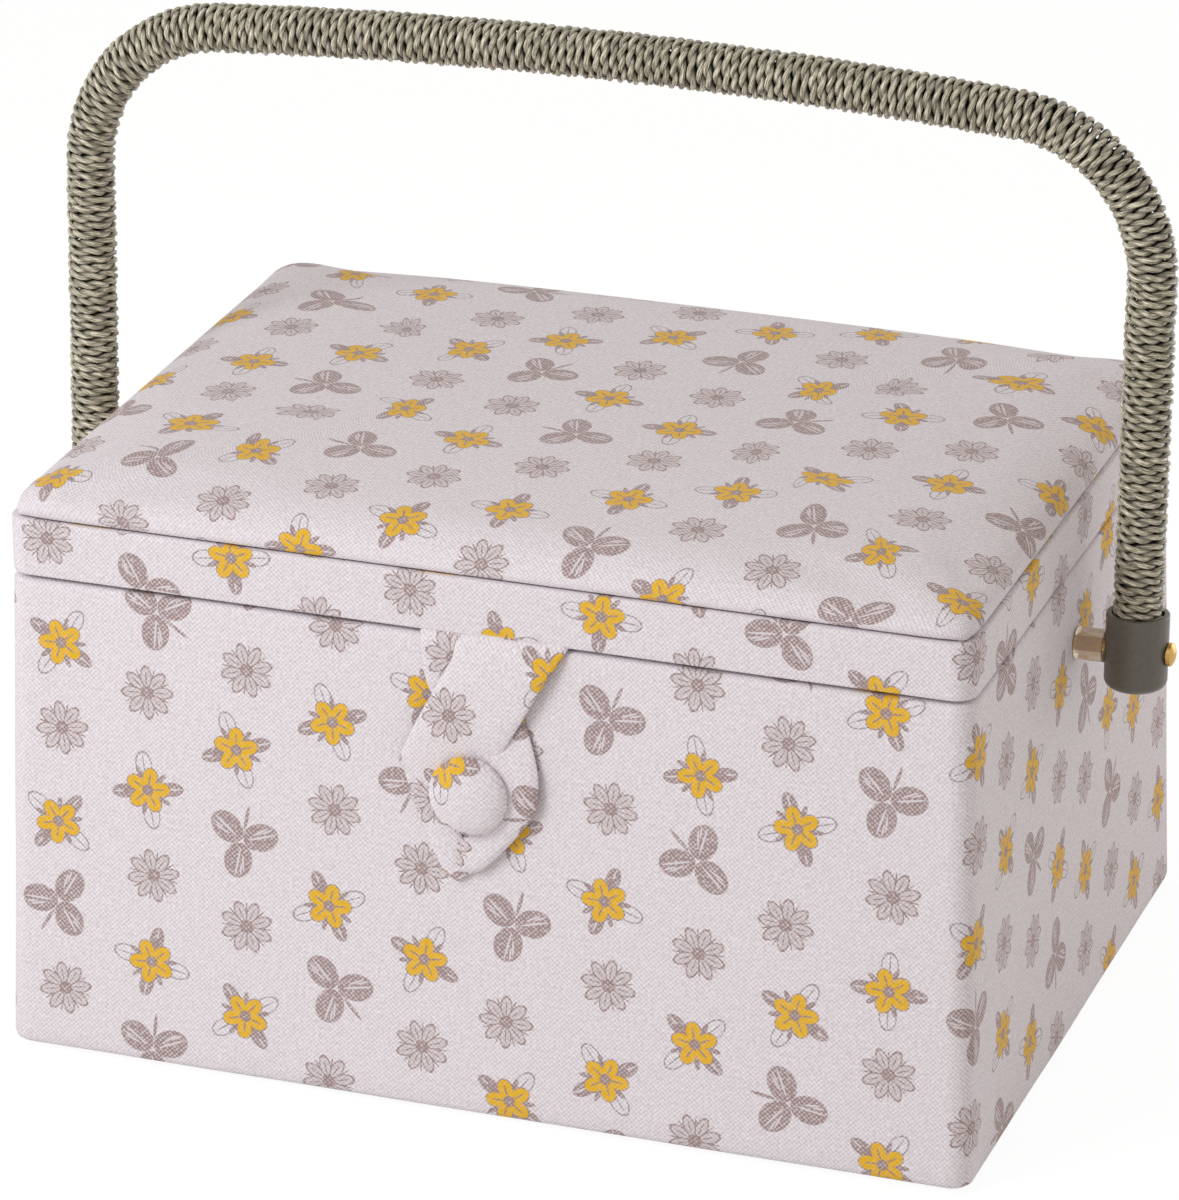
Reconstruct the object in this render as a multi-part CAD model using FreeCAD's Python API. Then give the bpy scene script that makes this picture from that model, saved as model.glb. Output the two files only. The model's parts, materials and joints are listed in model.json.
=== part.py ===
import FreeCAD, Part
import math
import os

os.makedirs("parts", exist_ok=True)

V = FreeCAD.Vector
X_AXIS = V(1, 0, 0)
Y_AXIS = V(0, 1, 0)
Z_AXIS = V(0, 0, 1)
ORIGIN = V(0, 0, 0)

# A cloth-covered sewing box with a padded, hinged lid, a wound swing handle and a loop-and-button
# closure. Lengths are in millimetres. X runs along the front, -Y is the front, Z is up, and the
# origin is the middle of the base, on the surface that the box stands on.

# Box
rim_width = 260.0
rim_depth = 190.0
wall_height = 134.0
side_splay = 3.0
front_splay = 5.5
corner_radius = 6.0
least_corner_radius = 0.8
cloth = 0.6
wadding = 1.5
board = 4.0
lining = 1.6
base_panel_thickness = 1.2
base_panel_inset = 6.0
hem_width = 15.0
bottom_edge_share = 0.9

# Lid
seam_gap = 0.5
lid_band_height = 15.5
lid_strip = 5.0
lid_panel_thickness = 3.0
lid_hem_width = 12.0
pillow_edge_rise = 9.5
pillow_crown = 3.0
pillow_roll = 11.0
pillow_tuck = 0.8
pillow_tuck_rise = 1.2
pillow_crown_reach = 48.0
pillow_draw_in = 1.2
pillow_corner_share = 0.5
pillow_corner_limit_share = 0.6
pillow_roll_degrees = (0, 15, 30, 45, 60, 75, 90)
pillow_crown_shares = (0.3, 0.6, 1.0)
pincushion_width = 92.0
pincushion_depth = 62.0
pincushion_edge_rise = 6.0
pincushion_crown = 2.5
pincushion_roll = 9.0
pincushion_crown_reach = 12.0
pincushion_corner_radius = 10.0
pincushion_x = 58.0

# Cloth hinge along the back
hinge_end_gap = 17.0
hinge_leaf = 13.0
hinge_offset = 1.1
hinge_bead_radius = 0.8
hinge_bead_gap = 0.4

# Loop and button closure, on the sloping front wall: across is along X, drop is measured down
# the wall from the rim
button_across = -0.7
button_drop = 41.0
button_radius = 10.6
button_rim = 1.5
button_crown = 5.0
button_shell = 0.8
button_back_thickness = 1.2
shank_radius = 2.0
shank_clearance = 0.1
anchor_radius = 5.0
anchor_thickness = 1.5
loop_thickness = 2.0
loop_gap = 0.3
loop_eye_radius = 6.0
loop_corner_radius = 1.6
strap_root_left = -7.0
strap_root_right = 24.7
strap_cross_across = 13.5
strap_cross_drop = 19.4
loop_right_across = 17.5
loop_right_high_drop = 34.0
loop_right_low_drop = 44.0
loop_tip_across = -1.3
loop_tip_drop = 64.6
loop_tip_flat = 6.3
loop_left_across = -20.7
loop_left_drop = 35.8
strap_tab_length = 12.0
strap_tab_thickness = 1.2

# Handle
handle_stand_off = 16.8
pivot_drop = 21.4
leg_height = 100.7
bend_radius = 40.0
bar_slope_degrees = 4.1
handle_lean_degrees = 2.6
wrap_radius = 6.7
cord_diameter = 3.8
cord_gap = 0.55
core_clearance = 0.05
cap_radius = 8.3
cap_above_pivot = 10.5
cap_below_pivot = 10.0
cap_edge_radius = 2.6
cap_lip_radius = 0.5
cap_bore_clearance = 0.2
cap_shoulder = 4.5
core_socket_wall = 0.9
most_loops = 24

# Pivot hardware
bolt_radius = 2.0
bolt_running_clearance = 0.06
bolt_free_clearance = 0.3
bolt_head_radius = 3.1
bolt_head_height = 2.0
thread_clearance = 0.02
spacer_radius = 4.35
spacer_wall_gap = 0.3
cap_side_gap = 0.2
nut_radius = 4.5
nut_thickness = 2.2
nut_recess_clearance = 0.3

# Lift-out tray
tray_rim_drop = 6.0
tray_height = 30.0
tray_side_clearance = 1.0
tray_draft = 2.0
tray_wall = 1.6
tray_corner_radius = 8.0
tray_pocket_radius = 5.0
tray_front_row_share = 0.42
tray_front_pockets = 3
tray_back_pockets = 2
ledge_width = 8.0
ledge_height = 12.0
ledge_end_gap = 20.0
ledge_gap = 0.2

# Working allowances
overrun = 5.0
touch = 0.001
upright_share = 0.99

# Levels and insets worked out from the sizes above
base_width = rim_width + 2 * side_splay
base_depth = rim_depth + 2 * front_splay
cover_low = base_panel_thickness
board_low = cover_low + cloth
board_high = wall_height - cloth
floor_top = board_low + board
floor_lining_top = floor_top + lining
wadding_inset = cloth
board_inset = cloth + wadding
board_inner = board_inset + board
room_inset = board_inner + lining
lid_low = wall_height + seam_gap
crease = lid_low + lid_band_height
strip_low = lid_low + cloth
panel_high = crease - cloth
panel_low = panel_high - lid_panel_thickness
strip_inner = cloth + lid_strip
lid_room_inset = strip_inner + lining
lid_room_top = panel_low - lining
hinge_length = rim_width - 2 * hinge_end_gap
hinge_y = rim_depth / 2 + hinge_offset
hinge_z = wall_height + seam_gap / 2
front_tilt = math.atan2(front_splay, wall_height)
front_normal = V(0, -math.cos(front_tilt), math.sin(front_tilt))
front_down = V(0, -math.sin(front_tilt), -math.cos(front_tilt))
front_rim = V(0, -rim_depth / 2, wall_height)
handle_half_span = rim_width / 2 + handle_stand_off
pivot_height = wall_height - pivot_drop
pivot = V(0, 0, pivot_height)
core_radius = wrap_radius - cord_diameter - core_clearance


def half_sizes(z, inset):
    """Half width and half depth of the outside at height z, less an inset. The lid is upright."""
    share = min(z, wall_height) / wall_height
    half_x = base_width / 2 - side_splay * share - inset
    half_y = base_depth / 2 - front_splay * share - inset
    return half_x, half_y


def rounded_outline(half_x, half_y, radius, z, draw_in=0.0):
    """A rounded rectangle at height z. Its sides are arcs when they are drawn in."""
    corners = ((1, 1, 0), (-1, 1, 90), (-1, -1, 180), (1, -1, 270))
    arcs = []
    for sign_x, sign_y, start in corners:
        centre = V(sign_x * (half_x - radius), sign_y * (half_y - radius), z)
        on_arc = []
        for step in (0, 45, 90):
            turn = math.radians(start + step)
            on_arc.append(centre + V(math.cos(turn), math.sin(turn), 0) * radius)
        arcs.append(on_arc)
    inward = (V(0, -1, 0), V(1, 0, 0), V(0, 1, 0), V(-1, 0, 0))
    edges = []
    for index, on_arc in enumerate(arcs):
        edges.append(Part.Arc(*on_arc).toShape())
        start = on_arc[2]
        end = arcs[(index + 1) % len(arcs)][0]
        if draw_in:
            middle = (start + end) / 2 + inward[index] * draw_in
            edges.append(Part.Arc(start, middle, end).toShape())
        else:
            edges.append(Part.LineSegment(start, end).toShape())
    return Part.Wire(edges)


def outline_at(z, inset):
    half_x, half_y = half_sizes(z, inset)
    radius = max(corner_radius - inset, least_corner_radius)
    return rounded_outline(half_x, half_y, radius, z)


def block(inset, low, high):
    """The solid inside the walls, inset from the outside, between two heights."""
    return Part.makeLoft([outline_at(low, inset), outline_at(high, inset)], True, True)


def round_foot(solid, low, radius):
    foot = [edge for edge in solid.Edges if edge.BoundBox.ZMax - low < touch]
    return solid.makeFillet(radius, foot)


def cylinder_x(radius, start, end, side):
    """A cylinder about the handle's pivot axis, from one distance to another on one side."""
    return Part.makeCylinder(radius, end - start, V(side * start, 0, pivot_height), X_AXIS * side)


def on_front(across, drop, lift=0.0):
    """A point on the front wall, lifted off it by a distance."""
    return front_rim + X_AXIS * across + front_down * drop + front_normal * lift


def front_cylinder(radius, start, end):
    """A cylinder about the button's axis, between two distances from the front wall's face."""
    return Part.makeCylinder(radius, end - start, on_front(button_across, button_drop, start), front_normal)


def split_in_four(ring, inset, low, high):
    """Cuts a rectangular ring into front, back, left and right, the first two full width."""
    ends = []
    for z in (low, high):
        half_y = half_sizes(z, inset)[1]
        corners = [V(sx * base_width, sy * half_y, z) for sx, sy in ((1, 1), (-1, 1), (-1, -1), (1, -1))]
        ends.append(Part.makePolygon(corners + corners[:1]))
    between = Part.makeLoft(ends, True, True)
    front, back = sorted(ring.cut(between).Solids, key=lambda solid: solid.CenterOfMass.y)
    left, right = sorted(ring.common(between).Solids, key=lambda solid: solid.CenterOfMass.x)
    return {"front": front, "back": back, "left": left, "right": right}


def pivot_holes(shape, radius):
    start = rim_width / 2 - room_inset - overrun
    for side in (-1, 1):
        shape = shape.cut(cylinder_x(radius, start, base_width / 2 + overrun, side))
    return shape


def behind_front(inset):
    """Where an inset lies on the front wall's normal, which leans a little from the level."""
    return -inset * math.cos(front_tilt)


def shank_hole(shape):
    radius = shank_radius + shank_clearance
    return shape.cut(front_cylinder(radius, -room_inset - overrun, overrun))


# Box shell
def make_outer_cover():
    rounding = bottom_edge_share * (cloth + wadding)
    outside = round_foot(block(0, cover_low, wall_height), cover_low, rounding)
    inside = round_foot(block(cloth, board_low, board_high), board_low, rounding - cloth)
    cover = outside.cut(inside)
    cover = cover.cut(block(hem_width, cover_low - overrun, board_low + overrun))
    cover = cover.cut(block(room_inset, board_high - overrun, wall_height + overrun))
    return shank_hole(pivot_holes(cover, bolt_radius + bolt_free_clearance))


def make_wall_wadding():
    rounding = bottom_edge_share * (cloth + wadding) - cloth
    outside = round_foot(block(wadding_inset, board_low, board_high), board_low, rounding)
    ring = outside.cut(block(board_inset, board_low - overrun, board_high + overrun))
    return shank_hole(pivot_holes(ring, bolt_radius + bolt_free_clearance))


def nut_start_x():
    """Where the nuts begin, sunk a little below the side boards' inner face."""
    return half_sizes(pivot_height, board_inner)[0] + nut_recess_clearance


def make_boards():
    ring = block(board_inset, board_low, board_high)
    ring = ring.cut(block(board_inner, board_low - overrun, board_high + overrun))
    boards = split_in_four(ring, board_inner, board_low, board_high)
    recess_end = nut_start_x() + nut_thickness + nut_recess_clearance
    for name, side in (("left", -1), ("right", 1)):
        side_board = pivot_holes(boards[name], bolt_radius + bolt_running_clearance)
        recess = cylinder_x(nut_radius + nut_recess_clearance, nut_start_x() - overrun, recess_end, side)
        boards[name] = side_board.cut(recess)
    anchor_back = behind_front(board_inner)
    anchor_front = anchor_back + anchor_thickness
    anchor_room = front_cylinder(anchor_radius + shank_clearance, anchor_back - overrun, anchor_front)
    boards["front"] = shank_hole(boards["front"]).cut(anchor_room)
    return boards


def make_ledge(side):
    tray_low = wall_height - tray_rim_drop - tray_height
    high = tray_low - ledge_gap
    low = high - ledge_height
    strip = block(room_inset, low, high)
    strip = strip.cut(block(room_inset + ledge_width, low - overrun, high + overrun))
    half_y = half_sizes(high, room_inset)[1] - ledge_end_gap
    keep = Part.makeBox(base_width, 2 * half_y, ledge_height, V(0, -half_y, low))
    if side < 0:
        keep.translate(V(-base_width, 0, 0))
    return strip.common(keep)


# Lid
def make_lid_band_cover():
    band = block(0, lid_low, crease)
    band = band.cut(block(cloth, strip_low, panel_high))
    band = band.cut(block(lid_room_inset, lid_low - overrun, strip_low + overrun))
    band = band.cut(block(lid_hem_width, panel_high - overrun, crease + overrun))
    return band.cut(strap_recess())


def strap_recess():
    """The shallow pocket under the lid's front edge in which the strap's tab is glued."""
    width = strap_root_right - strap_root_left
    corner = V(strap_root_left, -rim_depth / 2 - overrun, lid_low - overrun)
    return Part.makeBox(width, strap_tab_length + overrun, strap_tab_thickness + overrun, corner)


def make_strap_tab():
    width = strap_root_right - strap_root_left
    corner = V(strap_root_left, -rim_depth / 2, lid_low)
    return Part.makeBox(width, strap_tab_length, strap_tab_thickness, corner)


def make_lid_strips():
    ring = block(cloth, strip_low, panel_low)
    ring = ring.cut(block(strip_inner, strip_low - overrun, panel_low + overrun))
    strips = split_in_four(ring, strip_inner, strip_low, panel_low)
    strips["front"] = strips["front"].cut(strap_recess())
    return strips


def make_lid_lining():
    cup = block(strip_inner, strip_low, panel_low)
    cup = cup.cut(block(lid_room_inset, strip_low - overrun, lid_room_top))
    return cup.cut(strap_recess())


def pillow(half_x, half_y, corner, edge_rise, crown, roll, crown_reach, thinner=0.0):
    """A crowned cushion with drawn-in sides, from its seat at zero: a tuck, a rolled edge, a crown."""
    sections = [(pillow_tuck, 0)]
    for degrees in pillow_roll_degrees:
        turn = math.radians(degrees)
        rise = pillow_tuck_rise + (edge_rise - pillow_tuck_rise) * math.sin(turn)
        sections.append((roll * (1 - math.cos(turn)), rise))
    for share in pillow_crown_shares:
        sections.append((roll + crown_reach * share, edge_rise + crown * (1 - (1 - share) ** 2)))
    squeeze = 1 - thinner / (edge_rise + crown)
    outlines = []
    for inset, rise in sections:
        section_x = half_x - inset - thinner
        section_y = half_y - inset - thinner
        most = pillow_corner_limit_share * min(section_x, section_y)
        radius = min(corner + inset * pillow_corner_share, most)
        outlines.append(rounded_outline(section_x, section_y, radius, rise * squeeze, pillow_draw_in))
    return Part.makeLoft(outlines, True, True)


def make_lid_pad():
    """The foam pad and its cloth cover, which meet the band at the crease."""
    half_x, half_y = half_sizes(crease, 0)
    form = (half_x, half_y, corner_radius, pillow_edge_rise, pillow_crown, pillow_roll, pillow_crown_reach)
    foam = pillow(*form, thinner=cloth)
    cover = pillow(*form).cut(foam)
    return foam.translated(V(0, 0, crease)), cover.translated(V(0, 0, crease))


def make_pincushion():
    cushion = pillow(pincushion_width / 2, pincushion_depth / 2, pincushion_corner_radius,
                     pincushion_edge_rise, pincushion_crown, pincushion_roll, pincushion_crown_reach)
    return cushion.rotated(ORIGIN, X_AXIS, 180).translated(V(pincushion_x, 0, lid_room_top))


# Cloth hinge
def hinge_strip(low, high):
    """A strip of cloth on the outside of the back, between two heights."""
    strip = block(-cloth, low, high).cut(block(0, low - overrun, high + overrun))
    keep = Part.makeBox(hinge_length, base_depth, high - low, V(-hinge_length / 2, 0, low))
    return strip.common(keep)


def make_hinge_leaves():
    bead_start = V(-hinge_length / 2, hinge_y, hinge_z)
    bead = Part.makeCylinder(hinge_bead_radius, hinge_length, bead_start, X_AXIS)
    lower = hinge_strip(wall_height - hinge_leaf, wall_height).fuse(bead).removeSplitter()
    upper_low = hinge_z + hinge_bead_radius + hinge_bead_gap
    upper = hinge_strip(upper_low, upper_low + hinge_leaf)
    return lower, upper


# Button and loop
def button_seat():
    return loop_gap + loop_thickness + loop_gap


def turned(profile):
    """A solid of revolution about Z, set on the button's axis with Z along the wall's normal."""
    face = Part.Face(Part.Wire(profile))
    solid = face.revolve(ORIGIN, Z_AXIS, 360)
    if solid.Volume < 0:
        solid.reverse()
    turn = FreeCAD.Rotation(Z_AXIS, front_normal)
    return solid.transformed(FreeCAD.Placement(on_front(button_across, button_drop), turn).toMatrix())


def dome_arc(radius, crown, level):
    """The arc of a dome from its rim to its top, with a point on the way."""
    sphere = (radius * radius + crown * crown) / (2 * crown)
    half_turn = math.asin(radius / sphere) / 2
    middle = V(sphere * math.sin(half_turn), 0, level + crown - sphere + sphere * math.cos(half_turn))
    return Part.Arc(V(radius, 0, level), middle, V(0, 0, level + crown))


def make_button_dome():
    seat = button_seat()
    high = seat + button_rim
    top = high + button_crown
    inner = button_radius - button_shell
    profile = [
        Part.LineSegment(V(inner, 0, seat), V(button_radius, 0, seat)).toShape(),
        Part.LineSegment(V(button_radius, 0, seat), V(button_radius, 0, high)).toShape(),
        dome_arc(button_radius, button_crown, high).toShape(),
        Part.LineSegment(V(0, 0, top), V(0, 0, top - button_shell)).toShape(),
        dome_arc(inner, button_crown - button_shell, high).toShape(),
        Part.LineSegment(V(inner, 0, high), V(inner, 0, seat)).toShape(),
    ]
    return turned(profile)


def make_button_shank():
    """The disc that closes the button's back, with the shank that passes through the loop and wall."""
    seat = button_seat()
    disc = front_cylinder(button_radius - button_shell, seat, seat + button_back_thickness)
    shank = front_cylinder(shank_radius, behind_front(board_inner) + anchor_thickness, seat)
    return disc.fuse(shank).removeSplitter()


def make_button_anchor():
    """The flat disc behind the front board that holds the shank."""
    back = behind_front(board_inner)
    return front_cylinder(anchor_radius, back, back + anchor_thickness)


def make_closure_loop():
    """The ribbon loop: a slanting strap that widens to its root, and a pointed eye round the button."""
    outline = (
        (strap_root_left, 0),
        (strap_root_right, 0),
        (strap_cross_across, strap_cross_drop),
        (loop_right_across, loop_right_high_drop),
        (loop_right_across, loop_right_low_drop),
        (loop_tip_across, loop_tip_drop),
        (loop_tip_across - loop_tip_flat, loop_tip_drop),
        (loop_left_across, loop_left_drop),
    )
    points = [on_front(across, drop, loop_gap) for across, drop in outline]
    plate = Part.Face(Part.makePolygon(points + points[:1])).extrude(front_normal * loop_thickness)
    folds = [edge for edge in plate.Edges if abs(edge.tangentAt(0).dot(front_normal)) > upright_share]
    folds = [edge for edge in folds if edge.BoundBox.ZMax < wall_height - loop_corner_radius]
    plate = plate.makeFillet(loop_corner_radius, folds)
    plate = plate.cut(front_cylinder(loop_eye_radius, -overrun, loop_gap + loop_thickness + overrun))
    start = on_front(strap_root_left, 0, loop_gap + loop_thickness / 2)
    rolled_edge = Part.makeCylinder(loop_thickness / 2, strap_root_right - strap_root_left, start, X_AXIS)
    return plate.fuse(rolled_edge).removeSplitter()


# Handle
def handle_edges():
    """The handle's centre line, upright, from the left leg's foot to the right leg's foot."""
    slope = math.radians(bar_slope_degrees)
    foot = pivot_height + bolt_radius + bolt_running_clearance + core_socket_wall
    bend_start = pivot_height + leg_height
    inner = handle_half_span - bend_radius
    bar_half = inner + bend_radius * math.sin(slope)
    bar_end = bend_start + bend_radius * math.cos(slope)
    bar_top = bar_end + bar_half * math.tan(slope / 2)
    middle = (math.pi + math.pi / 2 + slope) / 2
    on_bend = V(math.cos(middle), 0, math.sin(middle)) * bend_radius
    left_foot = V(-handle_half_span, 0, foot)
    left_start = V(-handle_half_span, 0, bend_start)
    left_bend = V(-inner, 0, bend_start) + on_bend
    left_end = V(-bar_half, 0, bar_end)
    crown = V(0, 0, bar_top)

    def mirrored(point):
        return V(-point.x, point.y, point.z)

    return [
        Part.LineSegment(left_foot, left_start).toShape(),
        Part.Arc(left_start, left_bend, left_end).toShape(),
        Part.Arc(left_end, crown, mirrored(left_end)).toShape(),
        Part.Arc(mirrored(left_end), mirrored(left_bend), mirrored(left_start)).toShape(),
        Part.LineSegment(mirrored(left_start), mirrored(left_foot)).toShape(),
    ]


def leaning(shape):
    return shape.rotated(pivot, -X_AXIS, handle_lean_degrees)


def make_handle_core():
    edges = handle_edges()
    start = edges[0].Vertexes[0].Point
    profile = Part.Wire([Part.Circle(start, Z_AXIS, core_radius).toShape()])
    return leaning(Part.Wire(edges).makePipeShell([profile], True, False))


def arc_to(start, tangent, end):
    """The arc that leaves one point along a tangent and reaches another point."""
    chord = end - start
    turn = tangent.getAngle(chord)
    normal = tangent.cross(chord).normalize()
    radius = chord.Length / (2 * math.sin(turn))
    centre = start + normal.cross(tangent) * radius
    middle = centre + FreeCAD.Rotation(normal, math.degrees(turn)).multVec(start - centre)
    return Part.Arc(start, middle, end).toShape()


def biarc(start, tangent, end, end_tangent):
    """Two arcs that join two points with the tangents given there."""
    chord = end - start
    spread = 2 * (1 - tangent.dot(end_tangent))
    along = chord.dot(tangent + end_tangent)
    reach = (math.sqrt(along * along + spread * chord.dot(chord)) - along) / spread
    joint = (start + end + (tangent - end_tangent) * reach) / 2
    last = arc_to(end, -end_tangent, joint)
    last_middle = last.valueAt((last.FirstParameter + last.LastParameter) / 2)
    return [arc_to(start, tangent, joint), Part.Arc(joint, last_middle, end).toShape()]


def helix_point(edge, run, phase):
    """A point of the wound cord's centre line, and its tangent, at a run along the handle's line."""
    parameter = edge.getParameterByLength(min(run, edge.Length))
    axis_point = edge.valueAt(parameter)
    axis = edge.tangentAt(parameter)
    side = axis.cross(Y_AXIS)
    turn_radius = wrap_radius - cord_diameter / 2
    point = axis_point + (Y_AXIS * math.cos(phase) + side * math.sin(phase)) * turn_radius
    around = (side * math.cos(phase) - Y_AXIS * math.sin(phase)) * (2 * math.pi * turn_radius)
    return point, (around + axis * (cord_diameter + cord_gap)).normalize()


def wound_length(edge, start_run, end_run, inner_radius):
    """One unbroken length of cord, wound in whole turns on a stretch of the handle's line."""
    turn_radius = wrap_radius - cord_diameter / 2
    pitch = cord_diameter + cord_gap
    if inner_radius:
        pitch = pitch / (1 - turn_radius / inner_radius)
    loops = min(most_loops, math.floor((end_run - start_run) / pitch))
    stations = []
    for half in range(2 * loops + 1):
        run = start_run + (end_run - start_run) * half / (2 * loops)
        stations.append(helix_point(edge, run, math.pi * half))
    edges = []
    for (start, tangent), (end, end_tangent) in zip(stations[:-1], stations[1:]):
        edges += biarc(start, tangent, end, end_tangent)
    line = Part.Wire(edges)
    profile = Part.Wire([Part.Circle(stations[0][0], stations[0][1], cord_diameter / 2).toShape()])
    return line.makePipeShell([profile], True, False), line, loops


def least_gap(line, loops):
    """The least distance of a wound cord to its own next turn, measured on points, less its thickness."""
    per_turn = 36
    points = line.discretize(Number=per_turn * loops + 1)
    least = line.Length
    for index, point in enumerate(points):
        for other in points[index + per_turn // 2:index + per_turn * 3 // 2]:
            least = min(least, point.distanceToPoint(other))
    return least - cord_diameter


def make_wraps():
    """The cord on the left half of the handle and on its right half, each in three lengths."""
    leg, bend, bar, right_bend, right_leg = handle_edges()
    foot = leg.Vertexes[0].Point.z
    lead = pivot_height + cap_shoulder + cord_diameter / 2 + cap_bore_clearance - foot
    middle = bar.Length / 2
    stretches = {
        "left": ((leg, lead, leg.Length, 0), (bend, 0, bend.Length, bend_radius), (bar, 0, middle, 0)),
        "right": ((bar, middle, bar.Length, 0), (right_bend, 0, right_bend.Length, bend_radius),
                  (right_leg, 0, right_leg.Length - lead, 0)),
    }
    wraps = {}
    for name, runs in stretches.items():
        lengths = []
        for run in runs:
            solid, line, loops = wound_length(*run)
            gap = round(least_gap(line, loops), 2)
            print(name, "cord:", loops, "loops, least gap to itself", gap, "mm")
            lengths.append(leaning(solid))
        wraps[name] = Part.makeCompound(lengths)
    return wraps


def make_cap(side):
    """The moulded cap on a leg's foot: a cup for the wound end, a socket for the core, a bolt hole."""
    x = side * handle_half_span
    low = pivot_height - cap_below_pivot
    cap = Part.makeCylinder(cap_radius, cap_below_pivot + cap_above_pivot, V(x, 0, low))
    cap = round_foot(cap, low, cap_edge_radius)
    lip = [edge for edge in cap.Edges if edge.BoundBox.ZMin > pivot_height + cap_above_pivot - touch]
    cap = cap.makeFillet(cap_lip_radius, lip)
    shoulder = pivot_height + cap_shoulder
    socket = pivot_height + bolt_radius + bolt_running_clearance + core_socket_wall
    cap = cap.cut(Part.makeCylinder(wrap_radius + cap_bore_clearance, cap_above_pivot, V(x, 0, shoulder)))
    cap = cap.cut(Part.makeCylinder(core_radius + core_clearance, cap_above_pivot, V(x, 0, socket)))
    reach = cap_radius + overrun
    hole_radius = bolt_radius + bolt_running_clearance
    hole = cylinder_x(hole_radius, handle_half_span - reach, handle_half_span + reach, side)
    return leaning(cap.cut(hole))


# Pivot hardware
def make_bolt(side):
    seat = handle_half_span + cap_radius + cap_side_gap
    shank = cylinder_x(bolt_radius, nut_start_x(), seat, side)
    head_rim = bolt_head_height / 2
    rim = cylinder_x(bolt_head_radius, seat, seat + head_rim, side)
    sphere = (bolt_head_radius ** 2 + head_rim ** 2) / (2 * head_rim)
    dome = Part.makeSphere(sphere, V(side * (seat + bolt_head_height - sphere), 0, pivot_height))
    dome = dome.common(cylinder_x(bolt_head_radius, seat + head_rim, seat + bolt_head_height, side))
    return shank.fuse([rim, dome]).removeSplitter()


def make_spacer(side):
    wall = half_sizes(pivot_height - spacer_radius, 0)[0]
    start = wall + spacer_wall_gap
    end = handle_half_span - cap_radius - cap_side_gap
    tube = cylinder_x(spacer_radius, start, end, side)
    return tube.cut(cylinder_x(bolt_radius + thread_clearance, start - overrun, end + overrun, side))


def make_nut(side):
    start = nut_start_x()
    nut = cylinder_x(nut_radius, start, start + nut_thickness, side)
    return nut.cut(cylinder_x(bolt_radius + thread_clearance, start - overrun, start + overrun, side))


# Tray
def make_tray():
    """A moulded tray with rows of pockets, drafted so that it lifts out through the rim."""
    half_x, half_y = half_sizes(wall_height, room_inset + tray_side_clearance)
    high = wall_height - tray_rim_drop
    low = high - tray_height
    foot = rounded_outline(half_x - tray_draft, half_y - tray_draft, tray_corner_radius, low)
    rim = rounded_outline(half_x, half_y, tray_corner_radius, high)
    tray = Part.makeLoft([foot, rim], True, True)
    room_x = 2 * (half_x - tray_draft - tray_wall)
    room_y = 2 * (half_y - tray_draft - tray_wall)
    front_depth = tray_front_row_share * (room_y - tray_wall)
    back_depth = room_y - tray_wall - front_depth
    rows = (
        (tray_front_pockets, front_depth, -room_y / 2),
        (tray_back_pockets, back_depth, room_y / 2 - back_depth),
    )
    for count, depth, start_y in rows:
        width = (room_x - (count - 1) * tray_wall) / count
        for index in range(count):
            centre = V(-room_x / 2 + width / 2 + index * (width + tray_wall), start_y + depth / 2, 0)
            outline = rounded_outline(width / 2, depth / 2, tray_pocket_radius, low + tray_wall)
            outline.translate(centre)
            tray = tray.cut(Part.Face(outline).extrude(Z_AXIS * (tray_height + overrun)))
    return tray


boards = make_boards()
strips = make_lid_strips()
lid_padding, lid_top_cover = make_lid_pad()
hinge_lower, hinge_upper = make_hinge_leaves()
wraps = make_wraps()

nodes = {
    "base_panel": block(base_panel_inset, 0, base_panel_thickness),
    "floor_board": block(board_inner, board_low, floor_top),
    "front_board": boards["front"],
    "back_board": boards["back"],
    "left_board": boards["left"],
    "right_board": boards["right"],
    "wall_wadding": make_wall_wadding(),
    "outer_cover": make_outer_cover(),
    "wall_lining": block(board_inner, floor_top, board_high).cut(block(room_inset, 0, wall_height)),
    "floor_lining": block(room_inset, floor_top, floor_lining_top),
    "tray_ledge_left": make_ledge(-1),
    "tray_ledge_right": make_ledge(1),
    "button_dome": make_button_dome(),
    "button_shank": make_button_shank(),
    "button_anchor": make_button_anchor(),
    "hinge_cloth_lower": hinge_lower,
    "hinge_cloth_upper": hinge_upper,
    "lid_strip_front": strips["front"],
    "lid_strip_back": strips["back"],
    "lid_strip_left": strips["left"],
    "lid_strip_right": strips["right"],
    "lid_panel": block(cloth, panel_low, panel_high),
    "lid_band_cover": make_lid_band_cover(),
    "lid_padding": lid_padding,
    "lid_top_cover": lid_top_cover,
    "lid_lining": make_lid_lining(),
    "pincushion": make_pincushion(),
    "strap_tab": make_strap_tab(),
    "closure_loop": make_closure_loop(),
    "pivot_bolt_left": make_bolt(-1),
    "pivot_bolt_right": make_bolt(1),
    "pivot_spacer_left": make_spacer(-1),
    "pivot_spacer_right": make_spacer(1),
    "pivot_nuts": Part.makeCompound([make_nut(-1), make_nut(1)]),
    "handle_core": make_handle_core(),
    "handle_wrap_left": wraps["left"],
    "handle_wrap_right": wraps["right"],
    "handle_cap_left": make_cap(-1),
    "handle_cap_right": make_cap(1),
    "tray": make_tray(),
}

for name, shape in nodes.items():
    shape.exportStep("parts/" + name + ".step")
    print(name, len(shape.Solids), "solid", shape.isValid(), round(shape.Volume / 1000, 2), "cm3")
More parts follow.
